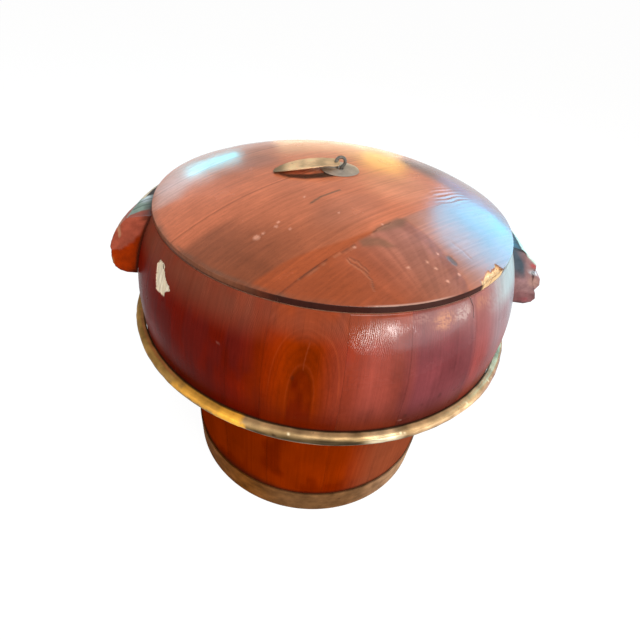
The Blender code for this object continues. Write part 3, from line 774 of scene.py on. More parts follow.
def lacquered_wood(name, specular, smoothest, roughest, figure, relief, bare=CHIPPED_WOOD):
    """Wood under worn lacquer: growth rings, grain streaks, pores and bare patches over the tints."""
    graph = Graph(name, specular)
    tint = graph.attribute("tint", "Color")
    raw = graph.attribute("raw")
    grain = graph.attribute("grain", "Vector")
    rings = graph.rings(graph.attribute("ring"), RING_SPACING)
    streaks = graph.noise(graph.stretch(grain, (420.0, 14.0, 420.0)), 1.0, 4.0)
    fibres = graph.noise(graph.stretch(grain, (1900.0, 45.0, 1900.0)), 1.0, 2.0)
    patches = graph.noise(grain, 34.0, 4.0)

    ring_shade = graph.swing(rings, graph.attribute("figure"))
    streak_shade = graph.swing(streaks, 0.55 * figure)
    shade = graph.math("ADD", graph.math("ADD", ring_shade, streak_shade), 1.0)
    shade = graph.math("MULTIPLY", shade, graph.spread(patches, 0.3, 0.7, 0.90, 1.10))
    phase = graph.math("ADD", graph.attribute("comb"), graph.swing(patches, COMB_WANDER))
    teeth = graph.math("SINE", graph.math("MULTIPLY", phase, math.tau / COMB_SPACING))
    teeth = graph.math("MULTIPLY", teeth, graph.attribute("combed"))
    teeth = graph.math("MULTIPLY", teeth, graph.spread(patches, 0.38, 0.55))
    shade = graph.math("ADD", shade, graph.math("MULTIPLY", teeth, 0.12))
    colour = graph.brighten(tint, shade)
    pores = graph.spread(fibres, 0.58, 0.72, 0.0, 0.45)
    colour = graph.mix(pores, colour, graph.brighten(tint, 0.55))

    bare = graph.mix(graph.spread(fibres, 0.35, 0.65), (*bare[0], 1), (*bare[1], 1))
    bare = graph.mix(graph.attribute("inner"), bare, (*INNER_WOOD, 1))
    colour = graph.mix(raw, colour, graph.brighten(bare, graph.spread(streaks, 0.3, 0.7, 0.8, 1.15)))
    graph.finish("Base Color", colour)

    gloss = graph.spread(patches, 0.35, 0.68, smoothest, roughest)
    graph.finish("Roughness", graph.mix(raw, gloss, (0.75, 0.75, 0.75, 1)))
    height = graph.total((streaks, 0.6), (fibres, 0.4), (rings, 0.9), (teeth, 0.7))
    graph.bump(height, 0.25, relief)
    return graph.material


def aged_brass(name, metallic, smoothest, roughest):
    """Brass under a dull brown film, with darker specks and rubbed bright patches."""
    graph = Graph(name, 0.0, metallic)
    tint = graph.attribute("tint", "Color")
    place = graph.place()
    cloud = graph.noise(place, 70.0, 5.0)
    specks = graph.noise(place, 420.0, 3.0)
    scratches = graph.noise(graph.stretch(place, (160.0, 160.0, 1500.0)), 1.0, 2.0)
    colour = graph.brighten(tint, graph.spread(cloud, 0.32, 0.68, 0.64, 1.26))
    stain = graph.spread(specks, 0.66, 0.78, 0.0, 0.6)
    colour = graph.mix(stain, colour, graph.mix(0.6, graph.brighten(tint, 0.3), (*BRASS_STAIN, 1)))
    graph.finish("Base Color", colour)
    rough = graph.spread(cloud, 0.3, 0.7, roughest, smoothest)
    graph.finish("Roughness", graph.math("ADD", rough, graph.math("MULTIPLY", stain, 0.2)))
    graph.bump(graph.total((specks, 0.7), (scratches, 0.3)), 0.25, 0.0003)
    return graph.material


def painted_carving():
    """Thin paint over carved wood, worn through along the fibres."""
    graph = Graph("painted_carving", 0.04)
    tint = graph.attribute("tint", "Color")
    place = graph.place()
    cloud = graph.noise(place, 130.0, 5.0)
    fibres = graph.noise(graph.stretch(place, (900.0, 90.0, 900.0)), 1.0, 3.0)
    colour = graph.brighten(tint, graph.spread(cloud, 0.3, 0.7, 0.72, 1.28))
    worn = graph.spread(fibres, 0.62, 0.72, 0.0, 0.4)
    colour = graph.mix(worn, colour, graph.brighten(tint, 0.45))
    graph.finish("Base Color", colour)
    graph.finish("Roughness", graph.spread(cloud, 0.3, 0.7, 0.30, 0.52))
    graph.bump(graph.math("ADD", cloud, fibres), 0.25, 0.0004)
    return graph.material


def bare_wood():
    """Unfinished boards with the grain along Y."""
    graph = Graph("bare_wood", 0.3)
    place = graph.place()
    streaks = graph.noise(graph.stretch(place, (330.0, 9.0, 330.0)), 1.0, 4.0)
    fibres = graph.noise(graph.stretch(place, (1700.0, 40.0, 1700.0)), 1.0, 2.0)
    patches = graph.noise(place, 22.0, 3.0)
    colour = graph.mix(graph.spread(streaks, 0.3, 0.7), (*BOARD_WOOD[0], 1), (*BOARD_WOOD[1], 1))
    colour = graph.mix(graph.spread(fibres, 0.56, 0.70, 0.0, 0.5), colour, (*BOARD_PORES, 1))
    colour = graph.brighten(colour, graph.spread(patches, 0.3, 0.7, 0.85, 1.12))
    graph.finish("Base Color", colour)
    graph.finish("Roughness", graph.spread(patches, 0.3, 0.7, 0.62, 0.78))
    graph.bump(graph.math("ADD", streaks, fibres), 0.3, 0.0004)
    return graph.material


def wood_attributes(tint, across, along, depth, ring, raw, inner, figure, seed):
    """What the wood shader reads at each point."""
    shape = tint.shape[:2]
    offset = np.random.default_rng(seed).uniform(-3, 3, 3)
    grain = np.stack(np.broadcast_arrays(across, along, depth), -1) + offset
    return {
        "tint": np.clip(tint, 0.0, 1.0),
        "grain": np.broadcast_to(grain, (*shape, 3)),
        "ring": np.broadcast_to(ring, shape),
        "raw": np.broadcast_to(raw, shape),
        "inner": np.broadcast_to(inner, shape),
        "figure": np.broadcast_to(figure, shape),
    }


def denser(start, end, step, zones):
    """Places from start to end a step apart, and closer together in each (low, high, step) zone."""
    places = [np.linspace(start, end, int((end - start) / step) + 2)]
    for low, high, fine in zones:
        low, high = max(low, start), min(high, end)
        places.append(np.linspace(low, high, int((high - low) / fine) + 2))
    merged = np.unique(np.concatenate(places).round(6))
    return merged[np.concatenate([[True], np.diff(merged) > 1e-5])]


def stave_grid(stations, loop):
    """(angle, height, depth) of a stave's points, from its stations and the loop round it."""
    angle, height = np.meshgrid(stations, loop[:, 1], indexing="ij")
    return angle, height, np.broadcast_to(loop[:, 0], angle.shape)


def belly_loop(zones):
    """(depth below the outer face, height) round a belly stave: up outside, over the rim, down inside."""
    step = (RIM_HEIGHT - ARRIS - BELLY_BASE) / BELLY_ROWS
    outside = [(0.0, height) for height in denser(BELLY_BASE, RIM_HEIGHT - ARRIS, step, zones)]
    rim = [(ARRIS * 0.3, RIM_HEIGHT - ARRIS * 0.3), (ARRIS, RIM_HEIGHT)]
    rim += [(BELLY_WALL * share, RIM_HEIGHT) for share in (0.2, 0.5, 0.8)]
    wall = [(BELLY_WALL, height) for height in np.linspace(RIM_HEIGHT, FLOOR_TOP + CLEARANCE, WALL_ROWS)]
    groove = BELLY_WALL - CROZE_DEPTH
    croze = [
        (groove, FLOOR_TOP + CLEARANCE),
        (groove, FOOT_HEIGHT - CLEARANCE),
        (BELLY_WALL, FOOT_HEIGHT - CLEARANCE),
        (BELLY_WALL, BELLY_BASE),
    ]
    return np.array(outside + rim + wall + croze)


def arched_grain(angle, height, tint, tone):
    """(tint, ring) of the stave whose flat-sawn face shows arched growth rings."""
    u = np.radians(angle - ARCH_ANGLE) * BELLY_RADIUS
    rise = np.clip((height - ARCH_BASE) / ARCH_RISE, 0, None)
    ring = np.hypot(u, ARCH_HALF_WIDTH * rise**ARCH_POWER)
    ring = ring + 0.0005 * noise(u * 90, height * 30, 41)
    for radius, weight in ARCH_RINGS:
        tint = toward(tint, tone * 0.45, weight * close_to(ring, radius, 0.0014))
    heart = within(ring, None, ARCH_HEART) * (0.8 + 0.5 * noise(u * 240, height * 110, 42))
    inner = close_to(ring, ARCH_PALE_RING, 0.0008) * smooth(0.200, 0.222, height)
    outer = ARCH_OUTER_RING + 0.0030 * smooth(0.004, 0.022, u)
    outer = close_to(ring, outer, 0.0008) * smooth(0.205, 0.230, height)
    pale = 0.18 * inner + mix(0.16, 0.44, smooth(-0.004, 0.010, u)) * outer
    pale = np.maximum(pale, 0.55 * stroke(u * 1000, height * 1000, ARCH_LINE, 1.1))
    tint = layered(
        tint,
        (tone * np.array(ARCH_HEART_SHADE), np.clip(0.8 * heart, 0, 1)),
        (tone * 1.2 + np.array(ARCH_PALE_LIFT), pale),
    )
    return tint, ring


def belly_marks(angle, height, tint):
    """(tint, raw, sunk) with the chip, scuffs with painted highlights, painted sheen and reflections,
    scratches and crack at their places on the front.
    """
    across = math.radians(BELLY_RADIUS * 1000)
    u = angle * across
    z = height * 1000

    def places(points):
        return [(degrees * across, level) for degrees, level in points]

    ragged = 0.5 * noise(u * 0.9, z * 0.9, 3) + 0.3 * noise(u * 2.5, z * 2.5, 4)
    chip = patch(u + ragged, z + ragged, places(BELLY_CHIP), 0.25)
    hole = stroke(u, z, places(BELLY_CHIP_HOLE), 1.5)
    crack = stroke(u, z, places(BELLY_CRACK), 0.9)
    sunk = CHIP_DEPTH * chip * (1 + 0.25 * noise(u * 1.2, z * 0.3, 5)) + CRACK_DEPTH * crack
    tint = toward(tint, GRIME_AND_PAINTED_SHADE, hole)

    flaking = 0.3 * noise(u * 0.3, z * 0.4, 8) + 0.45 * noise(u, z * 1.1, 9)
    flaking = smooth(-0.40, 0.30, flaking + 0.4 * noise(u * 2.6, z * 2.4, 10))
    # Scuffs near the rim; the tan and pale ones are also painted highlights
    for centre, radii, weight, colour in BELLY_SCUFFS_AND_HIGHLIGHTS:
        tint = toward(tint, colour, weight * flaking * spot(u, z, (centre[0] * across, centre[1]), radii))
    streaks = noise(u * 0.5, z * 0.1, 11)
    # Painted sheen and painted reflections on the right of the belly
    for colour, weight, angles, levels, raggedness, streaked in BELLY_PAINTED_SHEEN_ZONES:
        reach = within(angle + raggedness * ragged, angles) * within(z, levels)
        reach = reach * within(angle, None, PAINTED_SHEEN_END) * mix(1.0, streaks, streaked)
        tint = toward(tint, colour, weight * reach)
    for line in BELLY_SCRATCHES:
        tint = toward(tint, SCUFFED, 0.45 * stroke(u, z, places(line), 0.9))
    for degrees, level, size in BELLY_SPOTS:
        tint = toward(tint, GRIME_AND_PAINTED_SHADE, 0.35 * spot(u, z, (degrees * across, level), (size, size * 1.5)))
    return toward(tint, GRIME_AND_PAINTED_SHADE, 0.95 * crack), chip * (1 - hole), sunk


def belly_tone(number):
    """A stave's tint: set for those at the front, drawn by lot for the rest."""
    number = (number - 1) % (len(BELLY_STAVE_SHARES) * STAVE_ROUNDS) + 1
    lot = np.array(BELLY_TONE) * np.random.default_rng(500 + number).uniform(0.85, 1.2)
    return np.array(BELLY_TONES.get(number, lot))


def belly_finish(number, start, end, angle, height):
    """(tint, ring, figure, raw, sunk, combed) over the outer face of a belly stave."""
    rng = np.random.default_rng(500 + number)
    tone = belly_tone(number)
    u = np.radians(angle - (start + end) / 2) * BELLY_RADIUS
    before = SHARP_JOINTS.get(number - 1, JOINT_BLEND)
    after = SHARP_JOINTS.get(number, JOINT_BLEND)
    tint = layered(
        coat(tone, angle.shape),
        (belly_tone(number - 1), 0.5 * smooth(before, 0.0, angle - start)),
        (belly_tone(number + 1), 0.5 * smooth(after, 0.0, end - angle)),
    )
    heart = rng.choice((-1, 1)) * rng.uniform(0.03, 0.09)
    ring = np.hypot(u - heart, 0.05 * (height - rng.uniform(0.15, 0.3)))
    ring = ring + 0.0012 * noise(u * 45, height * 18, 40 + number) + 0.0004 * noise(u * 160, height * 50, 70)
    figure = BELLY_FIGURE
    if number == ARCHED_STAVE:
        tint, ring = arched_grain(angle, height, tint, tone)
        figure = ARCH_FIGURE

    cloud = noise(u * 55, height * 26, 90 + number) + 0.6 * noise(u * 150, height * 60, 190 + number)
    tint = shaded(tint, 1 + 0.20 * cloud + 0.06 * noise(u * 700, height * 500, 91))
    blotch = noise(angle * 0.16, height * 34, 92) + 0.7 * noise(angle * 0.5, height * 60, 93)
    murky = smooth(-0.1, 0.7, blotch) * within(angle, None, MURK_ANGLES) * within(height, MURK_HEIGHTS)
    dust_and_sheen = [weight * within(height, rise) * within(angle, None, fall) for fall, rise, weight in DUST_AND_SHEEN_ZONES]
    worn = smooth(RIM_HEIGHT - 0.020, RIM_HEIGHT, height) * (0.6 + 0.4 * noise(angle * 0.5, height * 90, 7))
    tanned = within(height, TAN_HEIGHTS) * within(angle, *TAN_ANGLES)
    low = 1 - smooth(HOOP_SEAT_TOP, HOOP_SEAT_TOP + 0.028, height)
    gap = 1 - smooth(HOOP_SEAT_TOP - 0.0002, HOOP_SEAT_TOP + 0.0018, height)
    edge = np.minimum(angle - start, end - angle)
    tint = layered(
        tint,
        (BELLY_MURK, 0.55 * murky),
        # Dust and painted sheen near the rim at the left
        (BELLY_DUST_AND_PAINTED_SHEEN, np.maximum(*dust_and_sheen)),
        (tone * 1.2 + np.array(WORN_LIFT), 0.7 * worn),
        (RIM_TAN, 0.34 * tanned),
        # Painted shade low on the belly, over the hoop
        (tone * np.array(LOW_PAINTED_SHADE), 0.85 * low),
        # Grime and painted shade in the gap just over the hoop
        (GRIME_AND_PAINTED_SHADE, 0.95 * gap),
        (GRIME_AND_PAINTED_SHADE, JOINT_GRIME * close_to(edge, 0.0, 0.16)),
    )
    raw, sunk, combed = np.zeros((3, *angle.shape))
    if number in FRONT_STAVES:
        tint, raw, sunk = belly_marks(angle, height, tint)
        for first, last, base in COMBED_ZONES:
            reach = within(angle, (first, first + 4), (last - 4, last))
            combed = np.maximum(combed, reach * smooth(base, base + 0.010, height))
    return tint, ring, figure, raw, sunk, combed


def belly_lacquers():
    """The belly's lacquer in steps from worn dull to glossy."""
    lacquers = []
    for level in range(GLOSS_LEVELS + 1):
        finish = {key: mix(DULL_BELLY[key], GLOSSY_BELLY[key], level / GLOSS_LEVELS) for key in DULL_BELLY}
        lacquers.append(lacquered_wood(f"belly_lacquer_gloss_{level}", **finish))
    return lacquers


def build_belly(lacquers):
    """The belly's staves, each with its own tint, grain and wear."""
    for number, (start, end) in enumerate(stave_angles(BELLY_STAVE_SHARES, BELLY_STAVE_START), 1):
        step = FINE_ANGLE if number in FRONT_STAVES else COARSE_ANGLE
        gap = math.degrees(JOINT_GAP / 2 / BELLY_RADIUS)
        loop = belly_loop(FINE_HEIGHTS.get(number, ()))
        stations = denser(start + gap, end - gap, step, FINE_ANGLES.get(number, ()))
        angle, height, depth = stave_grid(stations, loop)
        tint, ring, figure, raw, sunk, combed = belly_finish(number, start, end, angle, height)
        gloss = np.clip((height - along_line(angle, GLOSS_BASE)) / GLOSS_FADE, 0, 1)
        gloss = gloss * (number in GLOSSY_STAVES)
        # Painted shade: the tint is darker where the lacquer is glossy, to offset the sheen it reflects
        tint = np.clip(tint - GLOSS_DEPTH * gloss[..., None], 0, 1)
        inner = (depth > ARRIS * 2) | (height < BELLY_BASE + 0.0001)
        raw = np.maximum(raw, inner)
        u = np.radians(angle) * BELLY_RADIUS
        points = round_points(angle, belly_radius(height) - depth - sunk * (depth == 0), height)
        attributes = wood_attributes(tint, u, height, depth, ring, raw, inner, figure, number)
        attributes["comb"] = u + along_line(angle, COMB_LEAN) * (height - RIM_HEIGHT)
        attributes["combed"] = combed
        steps = (lacquers[1:], np.ceil(gloss * GLOSS_LEVELS))
        name = f"belly_stave_{number:02d}"
        dress(name, "bucket", "belly_lacquer", points, lacquers[0], attributes, other=steps)


def foot_loop():
    """(depth below the outer face, height) round a foot stave."""
    outside = [(0.0, height) for height in np.linspace(0.0, FOOT_TOP, FOOT_ROWS)]
    inside = [(FOOT_WALL, height) for height in np.linspace(FOOT_TOP, 0.0, FOOT_WALL_ROWS)]
    return np.array(outside + inside)


def foot_tint(number, tone, start, end, angle, height):
    """Blotched lacquer with a painted pinkish sheen at the right, a painted shadow over the band and grime in
    the joints.
    """
    u = np.radians(angle) * FOOT_BASE_RADIUS
    blotch = noise(angle * 0.12, height * 30, 94) + 0.6 * noise(angle * 0.35, height * 70, 95)
    reach = mix(0.005, 0.012, smooth(-95, -120, angle))
    edge = np.minimum(angle - start, end - angle)
    return layered(
        shaded(coat(tone, angle.shape), 1 + 0.2 * noise(u * 60, height * 16, number)),
        (tone * np.array(FOOT_BLOTCH_SHADE), 0.75 * smooth(0.0, 0.8, blotch)),
        # Painted pinkish sheen on the right of the foot
        (FOOT_RIGHT_PAINTED_SHEEN, 0.8 * within(angle, (-80, -60), (0, 60))),
        # Painted shadow over the band, wider at the left
        (GRIME_AND_PAINTED_SHADE, 0.8 * smooth(FOOT_HOOP_HEIGHT + reach, FOOT_HOOP_HEIGHT, height)),
        (GRIME_AND_PAINTED_SHADE, JOINT_GRIME * close_to(edge, 0.0, 0.25)),
    )


def build_foot(material):
    """The foot's staves."""
    loop = foot_loop()
    for number, (start, end) in enumerate(stave_angles(FOOT_STAVE_SHARES, FOOT_STAVE_START), 1):
        rng = np.random.default_rng(700 + number)
        gap = math.degrees(JOINT_GAP / 2 / FOOT_BASE_RADIUS)
        stations = np.linspace(start + gap, end - gap, int((end - start) / FOOT_ANGLE) + 2)
        angle, height, depth = stave_grid(stations, loop)
        u = np.radians(angle) * FOOT_BASE_RADIUS
        tone = np.array(FOOT_TONE) * FOOT_SHADES.get(number, rng.uniform(0.90, 1.10))
        tint = foot_tint(number, tone, start, end, angle, height)
        heart = math.radians((start + end) / 2) * FOOT_BASE_RADIUS + rng.uniform(-0.05, 0.05)
        ring = np.hypot(u - heart, 0.06 * (height - rng.uniform(0, 0.2)))
        ring = ring + 0.0009 * noise(u * 45, height * 18, 40 + number)
        inner = depth > 0
        attributes = wood_attributes(tint, u, height, depth, ring, inner, inner, FOOT_FIGURE, 60 + number)
        points = round_points(angle, foot_radius(height) - depth, height)
        dress(f"foot_stave_{number:02d}", "bucket", "foot_lacquer", points, material, attributes)


def lid_tones(a, c):
    """Tints of the lid's planks and of the stains that cross them, with painted reflections, haze and shade,
    and the leaf pull's painted shadow.
    """
    drift = 3.0 * noise(a * 0.03, c * 0.03, 14) + 1.2 * noise(a * 0.1, c * 0.3, 15)
    ends = mix(0.22, 1.0, smooth(-84, -128, a + drift * 3))
    orange = smooth(1.0, -2.0, c - along_line(a, LID_ORANGE_EDGE) - 0.4 * drift)
    front = smooth(-78, -81, c)
    burl = patch(a + 0.4 * drift, c, LID_BURL, 1.6) * within(a + 2 * drift, LID_BURL_START)
    tint = layered(
        coat(LID_TONE, a.shape),
        (LID_REAR, smooth(40, 70, c)),
        (LID_DARK, ends * smooth(2, -9, c + 0.5 * drift) * smooth(-35, -75, a)),
        (LID_STREAK, 0.55 * smooth(-38, -48, c + drift) * smooth(-20, -55, a) * smooth(-78, -66, c)),
        (LID_CENTRE, 0.45 * spot(a, c, (-40, -52), (45, 24))),
        (LID_WARM, 0.6 * spot(a, c, (22, -46), (40, 36))),
        (LID_ORANGE, orange * smooth(-30, -50, a)),
        (LID_FRONT_LEFT, front * smooth(-60, -80, a)),
        (LID_FRONT_RIGHT, front * smooth(-30, -5, a)),
        (BURL_LEFT, burl),
        (BURL_RIGHT, burl * smooth(-72, -34, a)),
        (BURL_DARK, 0.7 * burl * stroke(a, c, LID_BURL_EDGE, 11)),
    )
    fan = (c - LID_BURL_ROOT[1], a - LID_BURL_ROOT[0])
    flame = noise(np.degrees(np.arctan2(*fan)) * 0.5, np.hypot(*fan) * 0.015, 25)
    tint = shaded(tint, 1 + 0.15 * burl * flame)
    for corners in LID_OLIVE:
        tint = toward(tint, OLIVE_STAIN, 0.75 * patch(a, c, corners, 2.2))
    tint = layered(
        tint,
        # Painted gold reflection
        (GOLD_PAINTED_REFLECTION, 0.35 * patch(a + drift, c + drift, LID_GOLD_REFLECTION, 12)),
        # Painted grey-blue reflection at the right
        (GREY_PAINTED_REFLECTION, 0.8 * smooth(62, 82, a) * smooth(18, -12, c) * smooth(-128, -60, c)),
        # Painted shade and pinkish reflection at the front right
        (FRONT_PAINTED_SHADE_AND_REFLECTION, 0.85 * smooth(4, 40, a) * smooth(-62, -88, c)),
        # Painted shadow under the leaf pull
        (PAINTED_LEAF_SHADOW, 0.95 * patch(a, c, LID_LEAF_SHADOW, 2.0)),
        # Worn milky lacquer with painted reflected haze
        (PALE_WEAR_AND_PAINTED_HAZE, 0.55 * patch(a + 2 * drift, c + drift, LID_WEAR_AND_PAINTED_HAZE, 7)),
        (REAR_STAIN, 0.6 * spot(a, c, (-44, 54), (26, 22))),
    )
    # Painted shade: darker towards the front of the lid
    turn = math.radians(LID_GRAIN_ANGLE)
    painted_front_shade = smooth(-70, -150, a * math.sin(turn) + c * math.cos(turn))
    return tint * (1 - painted_front_shade[..., None] * (1 - np.array(LID_FRONT_PAINTED_SHADE)))


def lid_marks(a, c, tint):
    """(tint, sunk) with the gouges and painted highlights on their lips, the scratch, dent, grooves, ripples
    and specks.
    """
    dent = stroke(a, c, LID_DENT, 6.0)
    sunk = DENT_DEPTH * dent
    wander = 0.5 * noise(a * 0.35, c * 0.35, 16)
    for line in LID_GOUGES:
        # A painted highlight along each gouge's lip, beside the dark cut
        lip_highlight = stroke(a + wander + 1.2, c + wander + 0.9, line, 1.5)
        cut = stroke(a + wander, c + wander, line, 1.4)
        tint = layered(tint, (GOUGE_LIP_PAINTED_HIGHLIGHT, 0.15 * lip_highlight), (GOUGE_TONE, 0.55 * cut))
        sunk = np.maximum(sunk, GOUGE_DEPTH * cut)
    tint = layered(tint, (SCRATCH_TONE, 0.8 * stroke(a, c, LID_SCRATCH, 2.8)), (DENT_TONE, 0.85 * dent))
    for line in LID_GROOVES:
        sunk = np.maximum(sunk, DENT_DEPTH * stroke(a, c, line, 2.6))
    wave = np.sin(math.tau * c / LID_RIPPLE_LENGTH + 2.5 * noise(a * 0.06, c * 0.08, 17))
    for centre, radii in LID_RIPPLES:
        sunk = sunk + RIPPLE_DEPTH * (1 + wave) * spot(a, c, centre, radii)
    for along, across, size in LID_SPECKS:
        reach = spot(a + 0.5 * noise(a, c, 18), c, (along, across), (size, size))
        tint = toward(tint, SPECK_TONE, 0.75 * reach)
    return tint, sunk


def lid_angle(along, across):
    """Degrees round the lid, from -180 to 180, of places along and across its grain."""
    return half_turns(np.degrees(np.arctan2(across, along)) + LID_GRAIN_ANGLE)


def lid_chip(a, c, radius):
    """Depth of the broken place on the rim: 1 where wood is gone, fading in over its inner edge."""
    angle = lid_angle(a, c)
    low, high = LID_CHIP_ANGLES
    ends = within(angle, (low, low + 1.2), (high - 1.2, high))
    reach = 3.4 + 1.8 * smooth(low, high, angle)
    reach = reach + 1.3 * noise(angle * 1.3, 0, 19) + 0.5 * noise(angle * 4, 1, 20)
    return smooth(-0.5, 0.5, radius - (LID_RADIUS * 1000 - reach * ends)) * (ends > 0.02)


def lid_finish(a, c, radius):
    """(tint, figure, raw, sunk) over the lid's top, with places in millimetres along and across the grain."""
    figure = 0.34 - 0.26 * patch(a, c, LID_BURL, 3.0) * within(a, LID_BURL_START)
    cloud = noise(a * 0.018, c * 0.05, 21) + 0.6 * noise(a * 0.05, c * 0.2, 22)
    tint, sunk = lid_marks(a, c, shaded(lid_tones(a, c), 1 + 0.09 * cloud))
    angle = lid_angle(a, c)
    # Wear along the rim, which also carries painted shade at the front left
    worn = smooth(145.5, 149, radius) * (0.55 + 0.45 * noise(angle * 0.4, radius * 0.5, 23))
    chip = lid_chip(a, c, radius)
    crumbs = 0.5 + 0.5 * noise(a * 1.1, c * 1.1, 24)
    tint = layered(
        tint,
        # Wear and painted shade in a darker band along the rim at the front left
        (RIM_DARK, 0.85 * worn * within(angle, (-178, -150), (-104, -84))),
        # Painted highlight on the rim at the front right
        (RIM_PAINTED_HIGHLIGHT, 0.7 * smooth(148.2, 149.3, radius) * within(angle, (-86, -80), (-66, -58))),
        (CRUMB_TONE, chip * smooth(0.75, 0.9, crumbs)),
    )
    sunk = np.maximum(sunk, RIM_CHIP_DEPTH * chip * (1 + 0.8 * crumbs))
    return tint, figure, chip * smooth(0.95, 0.75, crumbs), sunk


def lid_rows(low, high):
    """Places across the lid, as angles at the rim, for a board between two planes."""
    reach = LID_RADIUS - ARRIS
    first = -LID_END_ANGLE if low < -reach else math.degrees(math.asin(low / reach))
    last = LID_END_ANGLE if high > reach else math.degrees(math.asin(high / reach))
    count = int((min(high, reach) - max(low, -reach)) / LID_ROW) + 2
    return np.radians(np.linspace(first, last, int(count * 1.15)))


def lid_grid(low, high, columns):
    """(along, across, height, on_top) of a board's points, in rows over the top, round the rim and below."""
    reach = LID_RADIUS - ARRIS
    rim = np.array([
        (reach + ARRIS * 0.7, lid_height(reach) - ARRIS * 0.45),
        (LID_RADIUS, LID_EDGE_TOP - ARRIS),
        (LID_RADIUS, mix(LID_EDGE_TOP, LID_UNDERSIDE, 0.5)),
        (LID_RADIUS, LID_UNDERSIDE + ARRIS),
        (reach, LID_UNDERSIDE),
    ])
    over = np.linspace(-1, 1, columns)
    below = np.linspace(1, -1, UNDERSIDE_COLUMNS + 2)[1:-1]
    side = np.ones(len(rim))
    share = np.concatenate([over, side, below, -side])
    radius = np.concatenate([np.full(columns, reach), rim[:, 0], np.full(len(below), reach), rim[::-1, 0]])
    level = np.concatenate([np.zeros(columns), rim[:, 1], np.full(len(below), LID_UNDERSIDE), rim[::-1, 1]])
    theta = lid_rows(low + JOINT_GAP / 2, high - JOINT_GAP / 2)[:, None]
    along = share * radius * np.cos(theta)
    across = radius * np.sin(theta)
    on_top = np.broadcast_to(np.arange(len(share)) < columns, along.shape)
    dome = lid_height(np.minimum(np.hypot(along, across), LID_RADIUS))
    return along, across, np.where(on_top, dome, level), on_top


def lid_edge_tint(tint, raw, side, angle, height):
    """Tints of the rim's side: worn at the back, almost black at the front, a painted pale reflection at the
    right, and a painted shadow along its lowest edge.
    """
    right = within(angle, (-40, -34), (-20, -12))
    front = smooth(-122, -104, angle) * (1 - 0.8 * right)
    painted_gap_shadow = smooth(LID_UNDERSIDE + 0.002, LID_UNDERSIDE + 0.0002, height)
    return layered(
        tint,
        (LID_EDGE_WORN, 0.75 * side * (1 - front)),
        # Painted pale reflection on the rim's side at the right
        (PAINTED_MINT_REFLECTION, 0.7 * side * right),
        # Almost black at the front, and a painted shadow along the lowest edge
        (LID_EDGE_TONE, np.maximum(0.96 * front, 0.8 * painted_gap_shadow) * side * (1 - raw)),
    )


def build_lid(material, edge_material):
    """The lid's planks, with another finish on the rim and below."""
    edges = [-LID_RADIUS, *LID_SEAMS, LID_RADIUS]
    for number, (low, high) in enumerate(zip(edges, edges[1:]), 1):
        columns = FINE_LID_COLUMNS if number in FINE_LID_BOARDS else COARSE_LID_COLUMNS
        along, across, height, on_top = lid_grid(low, high, columns)
        a, c = along * 1000, across * 1000
        tint, figure, raw, sunk = lid_finish(a, c, np.hypot(a, c))
        height = height - sunk * on_top
        side = ~on_top & (height > LID_UNDERSIDE + 0.0001)
        side[0] |= number == 1
        side[-1] |= number == len(LID_SEAMS) + 1
        tint = lid_edge_tint(tint, raw, side, lid_angle(along, across), height)
        for seam in LID_SEAMS:
            open_part = within(along, None, LID_SEAM_CLOSES) if seam == LID_SEAMS[0] else 1.0
            tint = toward(tint, GRIME_AND_PAINTED_SHADE, 0.35 * close_to(across, seam, 0.0006) * open_part * on_top)
        inner = ~on_top & ~side
        raw = np.maximum(raw, inner)

        heart = np.random.default_rng(number).uniform(0.05, 0.12) * (1 if number % 2 else -1)
        ring = np.hypot(across - (low + high) / 2 - heart, 0.045 * (along - 0.05))
        ring = ring + 0.0012 * noise(along * 20, across * 45, 30 + number)
        attributes = wood_attributes(tint, across, along, height, ring, raw, inner, figure, 90 + number)
        points = turned(along, across, height, LID_GRAIN_ANGLE)
        rim_finish = ([edge_material], ~on_top)
        dress(f"lid_board_{number}", "lid", "lid_lacquer", points, material, attributes, other=rim_finish)


def build_battens(material):
    """Planed battens with eased edges."""
    half = BATTEN_WIDTH / 2
    top = LID_UNDERSIDE + BATTEN_HOUSING
    base = LID_UNDERSIDE - BATTEN_DROP
    eased = base + BATTEN_EASE
    narrow = half - BATTEN_EASE
    loop = [(-half, top), (half, top), (half, eased), (narrow, base), (-narrow, base), (-half, eased)]
    for number, side in enumerate((-1, 1), 1):
        stations = np.linspace(-BATTEN_LENGTH / 2, BATTEN_LENGTH / 2, BATTEN_SECTIONS)
        points = np.array([[(side * BATTEN_OFFSET + x, y, z) for x, z in loop] for y in stations])
        points = turned(*np.moveaxis(points, -1, 0), LID_GRAIN_ANGLE)
        dress(f"lid_batten_{number}", "lid", "bare_wood", points, material, {})


